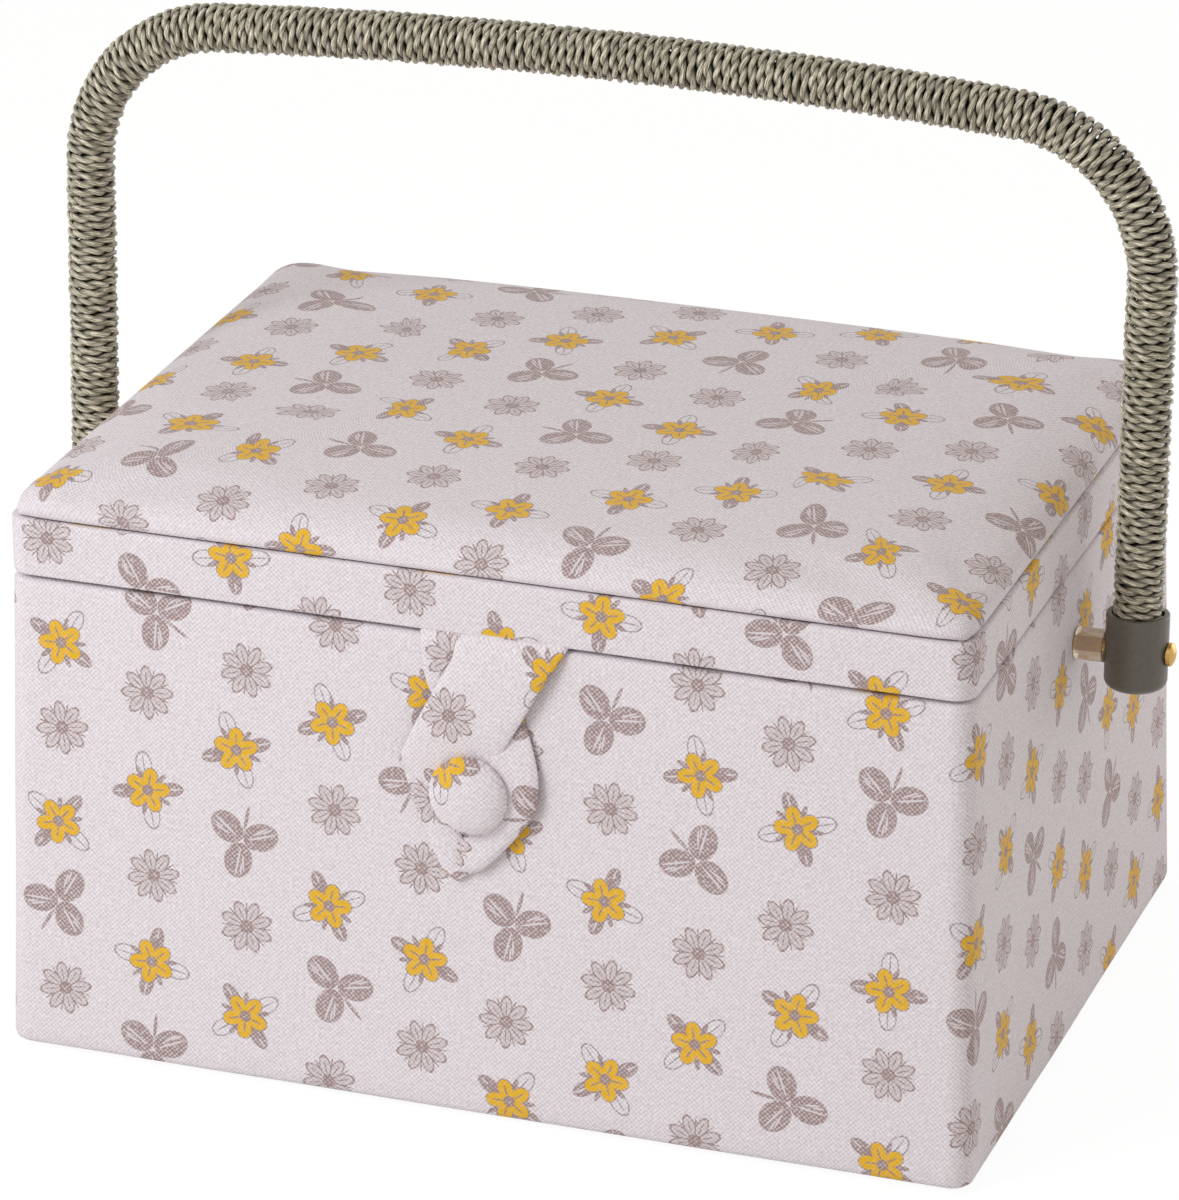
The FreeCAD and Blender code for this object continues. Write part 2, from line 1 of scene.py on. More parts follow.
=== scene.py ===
# %% [markdown]
# # A cloth-covered sewing box
# The real box is grey board, wrapped in thin wadding and printed cotton canvas. A padded lid turns on a
# strip of the same canvas, a loop of it slips over a covered button, and a steel handle wound with paper
# cord swings on two brass bolts. The boards, bolts, caps and tray come from the CAD frame as they are.
# Every piece of cloth, padding and cord is modelled here, in the same place, and gets its weave, print and
# gloss from shader nodes.

# %% Frame
import json
import math
from functools import partial

import bmesh
import bpy
import numpy as np
from mathutils import Matrix, Vector, noise

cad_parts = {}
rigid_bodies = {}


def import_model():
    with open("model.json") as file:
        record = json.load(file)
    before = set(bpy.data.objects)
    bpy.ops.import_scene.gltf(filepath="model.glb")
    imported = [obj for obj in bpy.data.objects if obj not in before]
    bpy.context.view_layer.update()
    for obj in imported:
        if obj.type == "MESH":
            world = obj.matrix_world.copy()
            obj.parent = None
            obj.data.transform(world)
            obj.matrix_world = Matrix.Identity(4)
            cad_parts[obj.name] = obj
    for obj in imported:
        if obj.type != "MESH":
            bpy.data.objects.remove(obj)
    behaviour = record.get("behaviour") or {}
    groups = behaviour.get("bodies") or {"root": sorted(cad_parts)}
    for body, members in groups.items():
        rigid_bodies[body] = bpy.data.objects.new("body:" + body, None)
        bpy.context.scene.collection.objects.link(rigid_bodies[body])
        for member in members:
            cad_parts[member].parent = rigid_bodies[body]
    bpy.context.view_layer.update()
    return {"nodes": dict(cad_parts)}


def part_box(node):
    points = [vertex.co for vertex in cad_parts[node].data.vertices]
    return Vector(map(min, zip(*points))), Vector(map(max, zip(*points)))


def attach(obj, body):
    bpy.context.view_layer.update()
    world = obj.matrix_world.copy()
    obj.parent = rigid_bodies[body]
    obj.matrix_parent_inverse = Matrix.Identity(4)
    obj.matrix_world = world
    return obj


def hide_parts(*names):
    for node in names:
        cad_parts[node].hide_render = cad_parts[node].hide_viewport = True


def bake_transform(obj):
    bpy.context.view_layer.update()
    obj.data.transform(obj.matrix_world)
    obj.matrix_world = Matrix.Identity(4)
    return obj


for spare in list(bpy.data.objects):
    bpy.data.objects.remove(spare)
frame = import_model()
MM = 0.001


def box_mm(node):
    """The lowest and highest corner of a CAD node, in millimetres."""
    low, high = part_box(node)
    return np.array(low) / MM, np.array(high) / MM


def put(name, data):
    """A new object in the scene, with this mesh, lamp or camera."""
    item = bpy.data.objects.new(name, data)
    bpy.context.scene.collection.objects.link(item)
    return item


# %% [markdown]
# ## Camera
# A product photograph is taken from far away with a long lens, so that upright edges stay upright. The
# camera could be placed by eye, but here its angle, distance and lens were fitted to the corners of the box
# in the photograph.

# %% Camera
azimuth, elevation, roll = (math.radians(angle) for angle in (19.721, 23.118, -0.34))
camera_distance = 1737.5 * MM
camera_target = Vector((-3.96, 0.0, 105.92)) * MM
back = Vector((math.sin(azimuth) * math.cos(elevation), -math.cos(azimuth) * math.cos(elevation),
               math.sin(elevation)))
level_right = Vector((math.cos(azimuth), math.sin(azimuth), 0.0))
level_up = back.cross(level_right)
right = level_right * math.cos(roll) + level_up * math.sin(roll)
up = level_up * math.cos(roll) - level_right * math.sin(roll)
camera_data = bpy.data.cameras.new("photo_camera")
camera_data.sensor_width = 36.0
camera_data.lens = 195.17
camera = put("photo_camera", camera_data)
camera.matrix_world = (Matrix.Translation(camera_target + back * camera_distance)
                       @ Matrix((right, up, back)).transposed().to_4x4())
bpy.context.scene.camera = camera
bpy.context.scene.view_settings.view_transform = "Standard"
print("camera at", [round(value, 3) for value in camera.location])

# %% [markdown]
# ## Nodes and colours
# Shader and geometry trees are long, so one small function adds a node, sets it and links it. Colours are
# written as the hex values that an eye would pick off a screen, and one function turns them into the linear
# values that Blender's sockets take.

# %% Node helper
RGBA = {"data_type": "RGBA", "out": 2}


def linear(code):
    """An sRGB hex colour as linear red, green, blue and alpha."""
    parts = [int(code[start:start + 2], 16) / 255 for start in (1, 3, 5)]
    values = [part / 12.92 if part <= 0.04045 else ((part + 0.055) / 1.055) ** 2.4 for part in parts]
    return (*values, 1.0)


def add(tree, kind, *inputs, out=0, named=None, **settings):
    """Adds a node, such as "MapRange" or "Math.SINE", sets it, feeds its inputs and returns one output."""
    kind, _, operation = kind.partition(".")
    if operation:
        settings["operation"] = operation
    node = tree.nodes.new(kind if kind.startswith("Geometry") else "ShaderNode" + kind)
    for key, value in settings.items():
        setattr(node, key, value)
    for key, value in [*enumerate(inputs), *(named or {}).items()]:
        if isinstance(value, bpy.types.NodeSocket):
            tree.links.new(value, node.inputs[key])
        elif value is not None:
            node.inputs[key].default_value = value
    return node.outputs[out]


def new_material(name, **sockets):
    """A material with one Principled shader whose uniform values are set on its own sockets."""
    material = bpy.data.materials.new(name)
    material.use_nodes = True
    shader = material.node_tree.nodes["Principled BSDF"]
    for key, value in sockets.items():
        shader.inputs[key.replace("_", " ")].default_value = value
    return material, material.node_tree, shader


def wire(tree, shader, **sockets):
    """Links values to a shader's sockets."""
    for key, value in sockets.items():
        tree.links.new(value, shader.inputs[key.replace("_", " ")])


# %% [markdown]
# ## Floor and light
# The picture has a pure white ground and a large soft light at the front left: the front is brightest, the
# lid a little darker and the right-hand side in shade. A white world would light all sides alike, so the
# world is dim for light and white only for the camera and for reflections, and one big lamp does the rest,
# with a weak one behind the shaded wall. The floor shows white to the camera too, with a share of its real
# shading, so that the box keeps a faint shadow.

# %% Light helpers
def white_to_viewer(tree):
    """A factor that is 1 for rays from the camera, a mirror or glass, and 0 for the rays that carry light."""
    path = tree.nodes.new("ShaderNodeLightPath")
    seen = add(tree, "Math.ADD", path.outputs["Is Camera Ray"], path.outputs["Is Glossy Ray"])
    return add(tree, "Math.ADD", seen, path.outputs["Is Transmission Ray"], use_clamp=True)


def area_lamp(name, size, power, place, aim, colour=(1.0, 1.0, 1.0)):
    """A square lamp that faces a point."""
    lamp = bpy.data.lights.new(name, "AREA")
    lamp.shape = "SQUARE"
    lamp.size = size
    lamp.energy = power
    lamp.color = colour
    item = put(name, lamp)
    item.location = place
    item.rotation_euler = (Vector(place) - Vector(aim)).to_track_quat("Z", "Y").to_euler()
    return item


# %% World
world = bpy.data.worlds.new("studio")
bpy.context.scene.world = world
world.use_nodes = True
ambient_strength = 0.56
world_tree = world.node_tree
background = world_tree.nodes["Background"]
viewer = white_to_viewer(world_tree)
brightness = add(world_tree, "MapRange", viewer, 0.0, 1.0, ambient_strength, 1.0)
tint = add(world_tree, "Mix", viewer, named={6: linear("#FFF8F0"), 7: linear("#FFFFFF")}, **RGBA)
world_tree.links.new(brightness, background.inputs["Strength"])
world_tree.links.new(tint, background.inputs["Color"])
print("world", ambient_strength)

# %% Floor
floor_half = 6.0
floor_glow, floor_white_share = 1.07, 0.86
floor_mesh = bpy.data.meshes.new("floor")
floor_mesh.from_pydata([(-floor_half, -floor_half, 0), (floor_half, -floor_half, 0),
                        (floor_half, floor_half, 0), (-floor_half, floor_half, 0)], [], [(0, 1, 2, 3)])
floor = put("floor", floor_mesh)
floor_paper = bpy.data.materials.new("white_paper_floor")
floor_paper.use_nodes = True
floor_tree = floor_paper.node_tree
floor_tree.nodes.clear()
paper_shade = add(floor_tree, "BsdfDiffuse", linear("#F2F2F2"))
paper_white = add(floor_tree, "Emission", linear("#FFFFFF"), floor_glow)
shown_white = add(floor_tree, "Math.MULTIPLY", white_to_viewer(floor_tree), floor_white_share)
floor_surface = add(floor_tree, "MixShader", shown_white, paper_shade, paper_white)
floor_output = floor_tree.nodes.new("ShaderNodeOutputMaterial")
floor_tree.links.new(floor_surface, floor_output.inputs["Surface"])
floor_mesh.materials.append(floor_paper)
print("floor", 2 * floor_half, "m wide")

# %% Lamps
key_from = Vector((-0.5, -0.75, 0.6)).normalized()
key_distance, key_size, key_power = 1.3, 0.55, 7.5
area_lamp("window_key", key_size, key_power, camera_target + key_from * key_distance, camera_target,
          colour=(0.93, 0.965, 1.0))
fill_place, wall_middle = (0.42, 0.45, 0.12), (0.13, 0.0, 0.08)
fill_size, fill_power = 0.3, 0.5
area_lamp("wall_fill", fill_size, fill_power, fill_place, wall_middle).visible_camera = False
print("lamps", key_power, "and", fill_power, "W")

# %% [markdown]
# ## Printed cotton canvas
# The cloth is a plain-woven cotton canvas, pale lilac-white, with a small screen-printed pattern in mauve
# and mustard. An image could carry the print, but drawn with nodes it stays sharp at every distance. Each
# motif is a ring of ellipses: the plane is cut into a half-drop grid of cells, the angle round the cell's
# centre is folded once for each petal, and a point is inked if it lies inside the ellipse. A short table
# lists the ellipses of each motif. The cloth's own UV map, in real millimetres, carries the pattern round
# the box as one uncut piece. The weave has its real spacing, two threads to the period, and the ink sits
# unevenly on it, as it does on any canvas.

# %% Inks and motifs
canvas_colour, canvas_pale, canvas_deep = "#E9E2E8", "#F7F1F6", "#D6CDD4"
mauve_ink = "#A58F8E"
mustard_ink = "#F1BC16"
outline_ink = "#A29A9F"
tint_ink = "#D3C8CB"
motif_cell = 25.0
motif_scatter = 3.5
thread_spacing = 0.65
weave_share, slub_share = 0.26, 0.22
slub_width, slub_length = 0.8, 5.0
thick_per_mm, specks_per_mm = 0.35, 1.1
canvas_relief = 0.2
# factors on the colour for painted shade in the weave's hollows and painted highlight on its crests
thread_span, painted_weave_shading = (0.25, 0.75), (0.90, 1.06)
# ink is full in the hollows between threads and worn to a share on their crests
hollow, crest = 0.42, 0.72
thin_ink_share, full_ink_share = 0.42, 0.72
ink_edge_start, ink_edge_unevenness = 0.88, 0.24
motif_order = 5
daisy, blossom, trefoil = (0, 2), (1, 4), (3,)
# motifs, petals in the ring, turn in radians, ring radius, half length and half width, ink, outline or None
ellipses = (
    (daisy, 8, 0.0, 4.3, 2.9, 1.5, tint_ink, None),
    (daisy, 8, 0.0, 4.3, 2.9, 1.5, mauve_ink, 0.38),
    (daisy, 8, 0.0, 3.9, 1.9, 0.2, mauve_ink, None),
    (daisy, 8, math.pi / 8, 4.6, 2.4, 0.24, mauve_ink, None),
    (daisy, 1, 0.0, 0.0, 1.6, 1.6, mauve_ink, None),
    (blossom, 2, 0.5, 7.0, 3.7, 2.2, outline_ink, 0.36),
    (blossom, 2, 0.5, 6.8, 3.4, 0.2, outline_ink, None),
    (blossom, 2, 2.07, 6.6, 3.6, 2.0, mauve_ink, None),
    (blossom, 2, 2.07, 6.9, 2.8, 0.26, canvas_colour, None),
    (blossom, 5, 0.2 + math.pi / 5, 5.4, 1.7, 0.7, mauve_ink, None),
    (blossom, 5, 0.2, 3.5, 3.0, 2.4, mauve_ink, None),
    (blossom, 5, 0.2, 3.6, 2.6, 1.95, mustard_ink, None),
    (blossom, 5, 0.2, 3.0, 1.7, 0.28, mauve_ink, None),
    (blossom, 1, 0.0, 0.0, 1.6, 1.6, mauve_ink, None),
    (trefoil, 3, 0.3, 5.5, 5.0, 3.9, mauve_ink, None),
    (trefoil, 3, 0.3, 5.9, 4.0, 0.3, canvas_colour, None),
    (trefoil, 6, 0.05, 6.2, 2.3, 0.28, canvas_colour, None),
    (trefoil, 6, 0.14, 7.9, 1.7, 0.26, canvas_colour, None),
    (trefoil, 1, 1.34, 6.9, 3.6, 0.5, mauve_ink, None),
)

# %% Printed canvas
def woven(node, place, phase):
    """The over and under of a plain weave, from -1 to 1; a phase that varies makes some threads thicker."""
    across = node("SeparateXYZ", place)
    warp, weft = (node("Math.SINE", node("Math.MULTIPLY_ADD", run, math.pi / thread_spacing, phase))
                  for run in (across, across.node.outputs[1]))
    return node("Math.MULTIPLY", warp, weft)


def printed_canvas():
    """Matt cotton canvas whose threads catch the light, partly by sheen and partly by painted highlight and
    shade, with flat ink that wears thin on their crests.
    """
    material, tree, shader = new_material("printed_cotton_canvas", Roughness=0.9, Sheen_Weight=0.15,
                                          Sheen_Roughness=0.5, Specular_IOR_Level=0.25)
    node = partial(add, tree)
    place = node("VectorMath.MULTIPLY", node("UVMap", uv_map="cloth"), (1 / MM, 1 / MM, 0.0))
    across = node("SeparateXYZ", place)
    along = across.node.outputs[1]
    # threads go over and under each other, some are thicker for a stretch, and fibres stand out in specks
    thick = node("TexNoise", place, named={"Scale": thick_per_mm, "Detail": 2.0})
    speck = node("TexNoise", place, named={"Scale": specks_per_mm, "Detail": 2.0, "Roughness": 0.7})
    grain = node("Math.MULTIPLY_ADD", woven(node, place, thick), weave_share, speck)
    for run_x, run_y in ((slub_width, slub_length), (slub_length, slub_width)):
        stretched = node("VectorMath.MULTIPLY", place, (1 / run_x, 1 / run_y, 0.0))
        slub = node("TexNoise", stretched, named={"Scale": 1.0, "Detail": 1.0})
        grain = node("Math.MULTIPLY_ADD", node("Math.SUBTRACT", slub, 0.5), slub_share, grain)
    ink_edge = node("Math.MULTIPLY_ADD", speck, ink_edge_unevenness, ink_edge_start)
    thin_cover = node("MapRange", grain, hollow, crest, 1.0, thin_ink_share)
    full_cover = node("MapRange", grain, hollow, crest, 1.0, full_ink_share)
    # a half-drop grid: every second column is half a cell lower
    column = node("Math.FLOOR", node("Math.DIVIDE", across, motif_cell))
    odd = node("Math.FLOORED_MODULO", column, 2.0)
    dropped = node("Math.MULTIPLY_ADD", odd, motif_cell / 2, along)
    row = node("Math.FLOOR", node("Math.DIVIDE", dropped, motif_cell))
    cell = node("CombineXYZ", column, row, 0.0)
    middle = node("VectorMath.MULTIPLY_ADD", cell, (motif_cell,) * 3, (motif_cell / 2,) * 3)
    chance = node("TexWhiteNoise", named={"Vector": cell}, noise_dimensions="2D", out=1)
    scatter = node("VectorMath.MULTIPLY_ADD", chance, (motif_scatter,) * 3, (-motif_scatter / 2,) * 3)
    spot = node("VectorMath.SUBTRACT", node("CombineXYZ", across, dropped, 0.0), middle)
    turn = node("Math.MULTIPLY", chance.node.outputs[0], math.tau)
    motif = node("VectorRotate", node("VectorMath.SUBTRACT", spot, scatter),
                 named={"Angle": turn}, rotation_type="Z_AXIS")
    flat_motif = node("VectorMath.MULTIPLY", motif, (1.0, 1.0, 0.0))
    distance = node("VectorMath.LENGTH", flat_motif, out=1)
    motif_x = node("SeparateXYZ", flat_motif)
    angle = node("Math.ARCTAN2", motif_x.node.outputs[1], motif_x)
    step = node("Math.MULTIPLY_ADD", column, 2.0, row)
    kind = node("Math.FLOORED_MODULO", step, float(motif_order))
    # the ground runs from deep to pale with the grain: the threads' own tone in slubs and specks, and painted
    # shade in the weave's hollows
    colour = node("Mix", grain, named={6: linear(canvas_deep), 7: linear(canvas_pale)}, **RGBA)
    for motifs, petals, offset, ring_radius, half_length, half_width, ink, outline in ellipses:
        folded = node("Math.PINGPONG", node("Math.ADD", angle, offset), math.pi / petals)
        heading = node("CombineXYZ", node("Math.COSINE", folded), node("Math.SINE", folded), 0.0)
        petal = node("VectorMath.SCALE", heading, named={"Scale": distance})
        inside = node("VectorMath.MULTIPLY_ADD", petal, (1 / half_length, 1 / half_width, 0.0),
                      (-ring_radius / half_length, 0.0, 0.0))
        size = node("VectorMath.LENGTH", inside, out=1)
        if outline:
            from_edge = node("Math.ABSOLUTE", node("Math.SUBTRACT", size, 1.0))
            size = node("Math.MULTIPLY", from_edge, 2 * half_width / outline)
        cover = full_cover if ink == mustard_ink else thin_cover
        inked = node("Math.MULTIPLY", node("Math.LESS_THAN", size, ink_edge), cover)
        for number in motifs:
            here = node("Math.COMPARE", kind, float(number), 0.5)
            mask = node("Math.MULTIPLY", inked, here)
            colour = node("Mix", mask, named={6: colour, 7: linear(ink)}, **RGBA)
    # painted shade in the hollows between the threads, and a painted highlight on their crests
    light = node("MapRange", grain, *thread_span, *painted_weave_shading)
    grey = node("CombineColor", light, light, light)
    shaded = node("Mix", 1.0, named={6: colour, 7: grey}, blend_type="MULTIPLY", **RGBA)
    raised = node("Bump", named={"Strength": 0.6, "Distance": canvas_relief * MM, "Height": grain})
    wire(tree, shader, Base_Color=shaded, Normal=raised)
    return material


canvas = printed_canvas()
print("printed canvas:", len(canvas.node_tree.nodes), "nodes,", len(ellipses), "ellipses")

# %% [markdown]
# ## Plain cloths
# The lining and the pincushion are plain-dyed cotton of the same weave, without a print. They share one
# function with a colour of their own.

# %% Plain cloths
plain_weave_share, plain_relief = 0.25, 0.12
plain_specks_per_mm = 0.9


def plain_cotton(name, pale, deep):
    """Plain-dyed cotton, which looks soft and matt, with a weave that only just shows."""
    material, tree, shader = new_material(name, Roughness=0.92, Sheen_Weight=0.2, Sheen_Roughness=0.5,
                                          Specular_IOR_Level=0.2)
    node = partial(add, tree)
    place = node("VectorMath.MULTIPLY", node("UVMap", uv_map="cloth"), (1 / MM, 1 / MM, 0.0))
    speck = node("TexNoise", place, named={"Scale": plain_specks_per_mm, "Detail": 3.0})
    weave = node("Math.MULTIPLY_ADD", woven(node, place, 0.0), plain_weave_share, speck)
    # the colour follows the weave: the threads' own tone in specks, and painted shade in its hollows
    colour = node("Mix", weave, named={6: linear(deep), 7: linear(pale)}, **RGBA)
    raised = node("Bump", named={"Strength": 0.35, "Distance": plain_relief * MM, "Height": weave})
    wire(tree, shader, Base_Color=colour, Normal=raised)
    return material


lining_cotton = plain_cotton("lining_cotton", "#E6DDE3", "#CFC4CB")
pincushion_cotton = plain_cotton("pincushion_cotton", "#B29DA3", "#8E7A80")
print("plain cloths:", lining_cotton.name, "and", pincushion_cotton.name)

# %% [markdown]
# ## Board, metal and plastic
# Greyboard is pressed waste paper with a fibrous fleck, brass is turned and lightly dulled, and the caps
# and tray are moulded plastic with a faint orange-peel skin. Each is a base colour that a noise varies,
# with the same noise as a shallow bump, at a grain size given in millimetres.

# %% Hard finishes
def hard_finish(name, pale, deep, grain_mm, depth_mm, rough, **sockets):
    """A finish between two tones, with its grain's size and depth in mm and its span of roughness."""
    material, tree, shader = new_material(name, **sockets)
    node = partial(add, tree)
    place = node("TexCoord", out=3)
    scaled = node("VectorMath.MULTIPLY", place, (1 / (grain_mm * MM),) * 3)
    grain = node("TexNoise", scaled, named={"Scale": 1.0, "Detail": 4.0, "Roughness": 0.6})
    colour = node("Mix", grain, named={6: linear(deep), 7: linear(pale)}, **RGBA)
    polish = node("MapRange", grain, 0.3, 0.7, *rough)
    raised = node("Bump", named={"Strength": 0.5, "Distance": depth_mm * MM, "Height": grain})
    wire(tree, shader, Base_Color=colour, Roughness=polish, Normal=raised)
    return material


# board is dull and flecked, and card is paler and smoother
greyboard = hard_finish("pressed_greyboard", "#BDB6AC", "#8F887F", 0.6, 0.05, (0.85, 0.95))
backing_card = hard_finish("smooth_backing_card", "#D6CFCB", "#C2BAB6", 0.8, 0.02, (0.7, 0.8))
# turned brass has a soft yellow shine, and drawn steel with its scale is dark and dull
brass = hard_finish("turned_brass", "#DDB468", "#B08A48", 0.5, 0.01, (0.22, 0.38), Metallic=1.0)
steel = hard_finish("scaled_drawn_steel", "#4B463D", "#332F28", 0.4, 0.01, (0.55, 0.7), Metallic=1.0)
# moulded plastic has soft highlights on a faintly rippled skin, and a clear one shows what lies behind it
moulded = partial(hard_finish, IOR=1.49)
cap_plastic = moulded("moulded_grey_green_plastic", "#716C63", "#59544B", 1.4, 0.02, (0.32, 0.42),
                      Subsurface_Weight=0.25, Subsurface_Radius=(1.0, 0.9, 0.7), Subsurface_Scale=0.002)
clear_plastic = moulded("clear_moulded_plastic", "#F4E6D0", "#EAD9C0", 1.2, 0.01, (0.08, 0.16),
                        Transmission_Weight=0.75)
button_plastic = moulded("moulded_button_plastic", "#D9D4D2", "#CBC6C4", 1.0, 0.01, (0.35, 0.45))
tray_plastic = moulded("moulded_white_plastic", "#ECE8EA", "#DFDADC", 1.6, 0.02, (0.32, 0.42))

cad_finishes = {
    greyboard: ["floor_board", "front_board", "back_board", "left_board", "right_board", "lid_strip_front",
                "lid_strip_back", "lid_strip_left", "lid_strip_right", "lid_panel", "tray_ledge_left",
                "tray_ledge_right"],
    backing_card: ["base_panel"],
    brass: ["pivot_bolt_left", "pivot_bolt_right", "pivot_nuts"],
    steel: ["handle_core"],
    cap_plastic: ["handle_cap_left", "handle_cap_right"],
    clear_plastic: ["pivot_spacer_left", "pivot_spacer_right"],
    button_plastic: ["button_shank", "button_anchor"],
    tray_plastic: ["tray"],
}
for finish, nodes in cad_finishes.items():
    for name in nodes:
        frame["nodes"][name].data.materials.clear()
        frame["nodes"][name].data.materials.append(finish)
print("finished", sum(len(nodes) for nodes in cad_finishes.values()), "CAD pieces")

# %% [markdown]
# ## Rings of cloth
# The wall cover, the lid's band and the wall lining are strips of cloth that go once round a rounded
# rectangle. Each is a grid: one row for each level of its section, and the same stations round every ring,
# so that the UV map is simply the strip laid flat. A slow noise moves the surface a fraction of a
# millimetre, as wadding under cloth does, and Solidify gives the cloth its thickness.

# %% Cloth grids
def link_mesh(name, points, faces, flat_corners):
    """A smooth mesh from points in millimetres; its UV map holds each corner's place on the flat cloth."""
    mesh = bpy.data.meshes.new(name)
    mesh.from_pydata((np.asarray(points, float).reshape(-1, 3) * MM).tolist(), [], faces)
    layer = mesh.uv_layers.new(name="cloth")
    layer.data.foreach_set("uv", (np.asarray(flat_corners, np.float32) * MM).ravel())
    mesh.shade_smooth()
    return put(name, mesh)


def grid_mesh(name, points, flat, wrap=False):
    """A mesh through rows of points; flat holds each point's place on the uncut cloth."""
    rows, columns = points.shape[:2]
    faces, corners = [], []
    for row in range(rows - 1):
        for column in range(columns - (not wrap)):
            after = (column + 1) % columns
            faces.append((row * columns + column, row * columns + after,
                          (row + 1) * columns + after, (row + 1) * columns + column))
            corners += [flat[row][column], flat[row][column + 1],
                        flat[row + 1][column + 1], flat[row + 1][column]]
    return link_mesh(name, points, faces, corners)


# %% Ring walls
long_steps, short_steps, corner_steps = 72, 52, 10
cover_low, cover_high = box_mm("outer_cover")
band_low, band_high = box_mm("lid_band_cover")
rim_z = cover_high[2]
outer_corner = 6.0
least_corner = 1.5
swell_length = 38.0
print(f"rim {2 * band_high[0]:.1f} x {2 * band_high[1]:.1f} mm, at a height of {rim_z:.1f} mm")


def ring(half_x, half_y, radius):
    """Points round a rounded rectangle, from the middle of the back and anticlockwise from above."""
    stations, here = [], np.array((0.0, half_y))
    sides = (long_steps // 2, short_steps, long_steps, short_steps)
    for index, (side_x, side_y) in enumerate(((-1, 1), (-1, -1), (1, -1), (1, 1))):
        centre = np.array((side_x * (half_x - radius), side_y * (half_y - radius)))
        turn = np.radians(np.linspace(90, 180, corner_steps + 1) + 90 * index)
        arc = centre + radius * np.column_stack((np.cos(turn), np.sin(turn)))
        stations += [np.linspace(here, arc[0], sides[index], endpoint=False), arc[:-1]]
        here = arc[-1]
    stations.append(np.linspace(here, (0.0, half_y), long_steps // 2, endpoint=False))
    return np.concatenate(stations)


def wall_half(height):
    """The half width and half depth outside the box's sloping walls, and straight up from its rim."""
    share = np.clip((height - cover_low[2]) / (rim_z - cover_low[2]), 0, 1)
    return cover_high[:2] + (band_high[:2] - cover_high[:2]) * share


def ring_wall(name, levels, swell, corner=outer_corner, shift=(0.0, 0.0)):
    """A strip of cloth through (inset, height) levels; swell is the height of its soft unevenness."""
    rows, profile = [], [0.0]
    for inset, height in levels:
        half_x, half_y = wall_half(height) - inset
        radius = max(corner - inset, least_corner)
        here = ring(half_x, half_y, radius)
        outward = ring(half_x + 1, half_y + 1, radius + 1) - here
        uneven = [noise.noise(Vector((x, y, height)) / swell_length) * swell for x, y in here]
        here = here + outward * np.array(uneven)[:, None]
        rows.append(np.column_stack((here, np.full(len(here), height))))
    for (inset, height), (next_inset, next_height) in zip(levels, levels[1:]):
        profile.append(profile[-1] + math.hypot(next_inset - inset, next_height - height))
    middle = ring(*wall_half(levels[len(levels) // 2][1]), corner)
    steps = np.linalg.norm(np.diff(np.vstack((middle, middle[:1])), axis=0), axis=1)
    round_length = np.concatenate(([0.0], np.cumsum(steps)))
    flat = [[(shift[0] + u, shift[1] + v) for u in round_length] for v in profile]
    piece = grid_mesh(name, np.array(rows), flat, wrap=True)
    print(f"{name}: cut {round_length[-1]:.0f} x {profile[-1]:.0f} mm, {len(piece.data.polygons)} faces")
    return piece, (round_length[-1] * MM, profile[-1] * MM)


# %% Thickness and slots
def thicken(piece, thickness):
    """Gives cloth its thickness, away from the side that shows."""
    solid = piece.modifiers.new("cloth_thickness", "SOLIDIFY")
    solid.thickness = thickness * MM
    solid.offset = -1.0


def dress(piece, material, slot, body, *nodes):
    """Gives a piece its material and puts it on its body in place of its CAD nodes; slot is not used."""
    piece.data.materials.clear()
    piece.data.materials.append(material)
    if nodes:
        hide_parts(*nodes)
    if body:
        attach(piece, body)


# %% [markdown]
# ## Wall cover
# One strip of canvas goes round the box over thin wadding. It is turned under the bottom edge and over the
# rim, both with a small soft round, which is what makes the corners look padded and not folded from sheet.

# %% Wall cover
cloth_thickness = 0.6
rim_turn_in, base_turn_in = 7.6, 9.0
wall_levels = [(base_turn_in, cover_low[2] + 0.05), (3.2, cover_low[2] + 0.05), (1.5, cover_low[2] + 0.3),
               (0.5, cover_low[2] + 1.0), (0.0, cover_low[2] + 2.4)]
wall_levels += [(0.0, height) for height in np.linspace(cover_low[2] + 6, rim_z - 4, 34)]
wall_levels += [(0.0, rim_z - 2.2), (0.2, rim_z - 1.2), (0.6, rim_z - 0.75), (1.5, rim_z - 0.5),
                (rim_turn_in, rim_z - 0.4)]
wall_cloth, wall_cut = ring_wall("wall_cloth", wall_levels, swell=0.22)
thicken(wall_cloth, cloth_thickness)
dress(wall_cloth, canvas, "printed_cotton", "box", "outer_cover", "wall_wadding")

# %% [markdown]
# ## Lid band
# The band hides the four strips of board that make the lid's rim. It is a second strip of the same canvas,
# cut separately, so its print doesn't run on from the wall.

# %% Lid band
band_bottom, band_top = band_low[2], band_high[2]
band_turn_under, band_turn_over = 6.4, 4.0
band_print_start = (61.0, 407.0)
band_levels = [(band_turn_under, band_bottom + 0.35), (1.4, band_bottom + 0.3), (0.45, band_bottom + 0.2),
               (0.1, band_bottom + 0.4), (0.0, band_bottom + 0.9)]
band_levels += [(0.0, height) for height in np.linspace(band_bottom + 3, band_top - 3, 6)]
band_levels += [(0.0, band_top - 0.6), (0.1, band_top - 0.2), (0.35, band_top - 0.03),
                (band_turn_over, band_top - 0.02)]
band_cloth, band_cut = ring_wall("lid_band_cloth", band_levels, swell=0.12, shift=band_print_start)
thicken(band_cloth, cloth_thickness)
dress(band_cloth, canvas, "printed_cotton", "lid", "lid_band_cover")

# %% [markdown]
# ## Pads
# The lid's cushion, the pincushion and the padded linings are all one kind of shape: a flat rectangle of
# cloth drawn over something soft. The grid is the flat cloth itself. A point's distance from the cloth's
# edge gives its place on the section, and the ring it lies on is rounded at the corners, more so further
# in. The lid and the pincushion are then blown up by a short cloth simulation with their undersides held
# down, with a limit on how far a point may move.

# %% Pad section
corner_limit_share = 0.6


